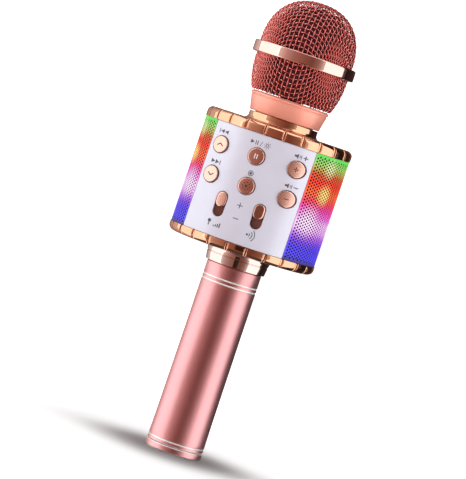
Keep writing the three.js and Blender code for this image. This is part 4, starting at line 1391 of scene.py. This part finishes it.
# Shades across each flag, from its left edge to its right edge
FRONT_SHADES = [
    (0.0, (0.95, 0.8, 0.75)),
    (0.2, (0.55, 0.36, 0.33)),
    (0.36, (0.38, 0.2, 0.17)),
    (0.58, (0.28, 0.12, 0.09)),
    (0.74, (0.2, 0.09, 0.07)),
    (0.87, (0.32, 0.18, 0.15)),
    (0.95, (0.52, 0.38, 0.36)),
    (1.0, (0.9, 0.75, 0.7)),
]
BACK_SHADES = [
    (0.0, (0.02, 0.012, 0.012)),
    (0.35, (0.05, 0.03, 0.03)),
    (0.7, (0.3, 0.2, 0.18)),
    (1.0, (0.9, 0.8, 0.76)),
]
CAMERA_SHADES = [(0.0, (0.03, 0.015, 0.012)), (1.0, (0.05, 0.03, 0.025))]

# Lights and flags: angles in degrees round from the camera, then metres and watts
SOFTBOXES = [
    {"name": "left_softbox", "from_deg": -122, "to_deg": -59, "distance": 0.9,
     "bottom": -0.9, "top": 1.5, "power": 11.5},
    {"name": "right_softbox", "from_deg": 46, "to_deg": 99, "distance": 0.9,
     "bottom": -0.9, "top": 1.5, "power": 10},
]
FILLS = [
    {"name": "front_fill", "from_deg": -40, "to_deg": 40, "distance": 1.3,
     "bottom": 0.1, "top": 1.0, "power": 7.5},
    {"name": "back_fill", "from_deg": 150, "to_deg": 210, "distance": 1.3,
     "bottom": 0.1, "top": 1.0, "power": 6},
]
FLAGS = [
    {"name": "front_flag", "span_deg": (-62, 45), "distance": 1.0, "heights": (-1.0, 1.6),
     "shades": FRONT_SHADES, "facing_deg": 180},
    {"name": "back_flag", "span_deg": (-72, 56), "distance": 1.0, "heights": (-1.0, 1.6),
     "shades": BACK_SHADES, "facing_deg": 0},
    {"name": "camera_flag", "span_deg": (-9, 9), "distance": 0.95, "heights": (-0.5, 0.11),
     "shades": CAMERA_SHADES, "facing_deg": 180},
]


def brown_flag(name, span_deg, distance, heights, shades, facing_deg):
    """A curved brown card that only mirror-like finishes see, between the softboxes."""
    material, tree, shader = new_material(name)
    shader.inputs["Base Color"].default_value = (0, 0, 0, 1)
    shader.inputs["Specular IOR Level"].default_value = 0.0
    shader.inputs["Emission Strength"].default_value = 1.0
    split = tree.nodes.new("ShaderNodeSeparateXYZ")
    tree.links.new(object_place(tree), split.inputs["Vector"])
    turn = tree.nodes.new("ShaderNodeMath")
    turn.operation = "ARCTAN2"
    tree.links.new(split.outputs["X"], turn.inputs[0])
    tree.links.new(split.outputs["Y"], turn.inputs[1])
    across = map_range(tree, turn.outputs["Value"], [math.radians(edge) for edge in span_deg])
    shade = ramp_node(tree, across, shades)
    tree.links.new(shade.outputs["Color"], shader.inputs["Emission Color"])
    angles = np.radians(np.linspace(*span_deg, 24))
    low = [(distance * math.sin(a), distance * math.cos(a), heights[0]) for a in angles]
    high = [(distance * math.sin(a), distance * math.cos(a), heights[1]) for a in angles[::-1]]
    count = len(angles)
    faces = [(k, k + 1, 2 * count - 2 - k, 2 * count - 1 - k) for k in range(count - 1)]
    card = stage_piece(name, low + high, faces, material)
    card.rotation_euler = (0, 0, math.radians(facing_deg) + AZIMUTH)
    card.scale = (-1, 1, 1)
    card.visible_camera = False
    card.visible_diffuse = False
    card.visible_shadow = False


def build_stage():
    count = STAGE["sides"]
    ring = [2 * math.pi * k / count for k in range(count)]
    rim = [(STAGE["reach"] * math.cos(a), STAGE["reach"] * math.sin(a)) for a in ring]
    floor = stage_piece("floor", [(x, y, 0) for x, y in rim], [tuple(range(count))],
                        floor_material())
    floor.visible_glossy = False
    points = [(x, y, z) for z in (-0.01, STAGE["height"]) for x, y in rim]
    faces = [(i, (i + 1) % count, count + (i + 1) % count, count + i) for i in range(count)]
    wall = stage_piece("backdrop", points, faces,
                       glowing_material("backdrop", STAGE["colour"], 1.2))
    wall.visible_glossy = False
    wall.visible_diffuse = False
    wall.visible_shadow = False


def build_lights():
    """Two tall softboxes, weak fills that gloss doesn't show, and brown flags between them."""
    for settings in SOFTBOXES:
        softbox(**settings)
    for settings in FILLS:
        softbox(**settings).visible_glossy = False
    for settings in FLAGS:
        brown_flag(**settings)
    top = softbox("top_softbox", -90, 90, 0.5, -0.5, 0.5, 5)
    top.matrix_world = look_from((0, 0, 1.4), (0, 0.001, 0), 0)

    world = bpy.data.worlds.new("studio")
    bpy.context.scene.world = world
    world.use_nodes = True
    background = world.node_tree.nodes["Background"]
    background.inputs["Color"].default_value = (0.9, 0.88, 0.92, 1)
    background.inputs["Strength"].default_value = 0.1
    bpy.context.scene.view_settings.view_transform = "Standard"


# ---- Assembly ----

finish_cad_nodes()
build_head()
build_necks()
build_handle()
bezel("top_bezel_ring", BEZEL_TOP, "top_bezel")
bezel("bottom_bezel_ring", BEZEL_BOTTOM, "bottom_bezel")
build_panels()
build_grilles()
build_buttons()
build_sliders()
build_prints()
build_camera()
build_stage()
build_lights()
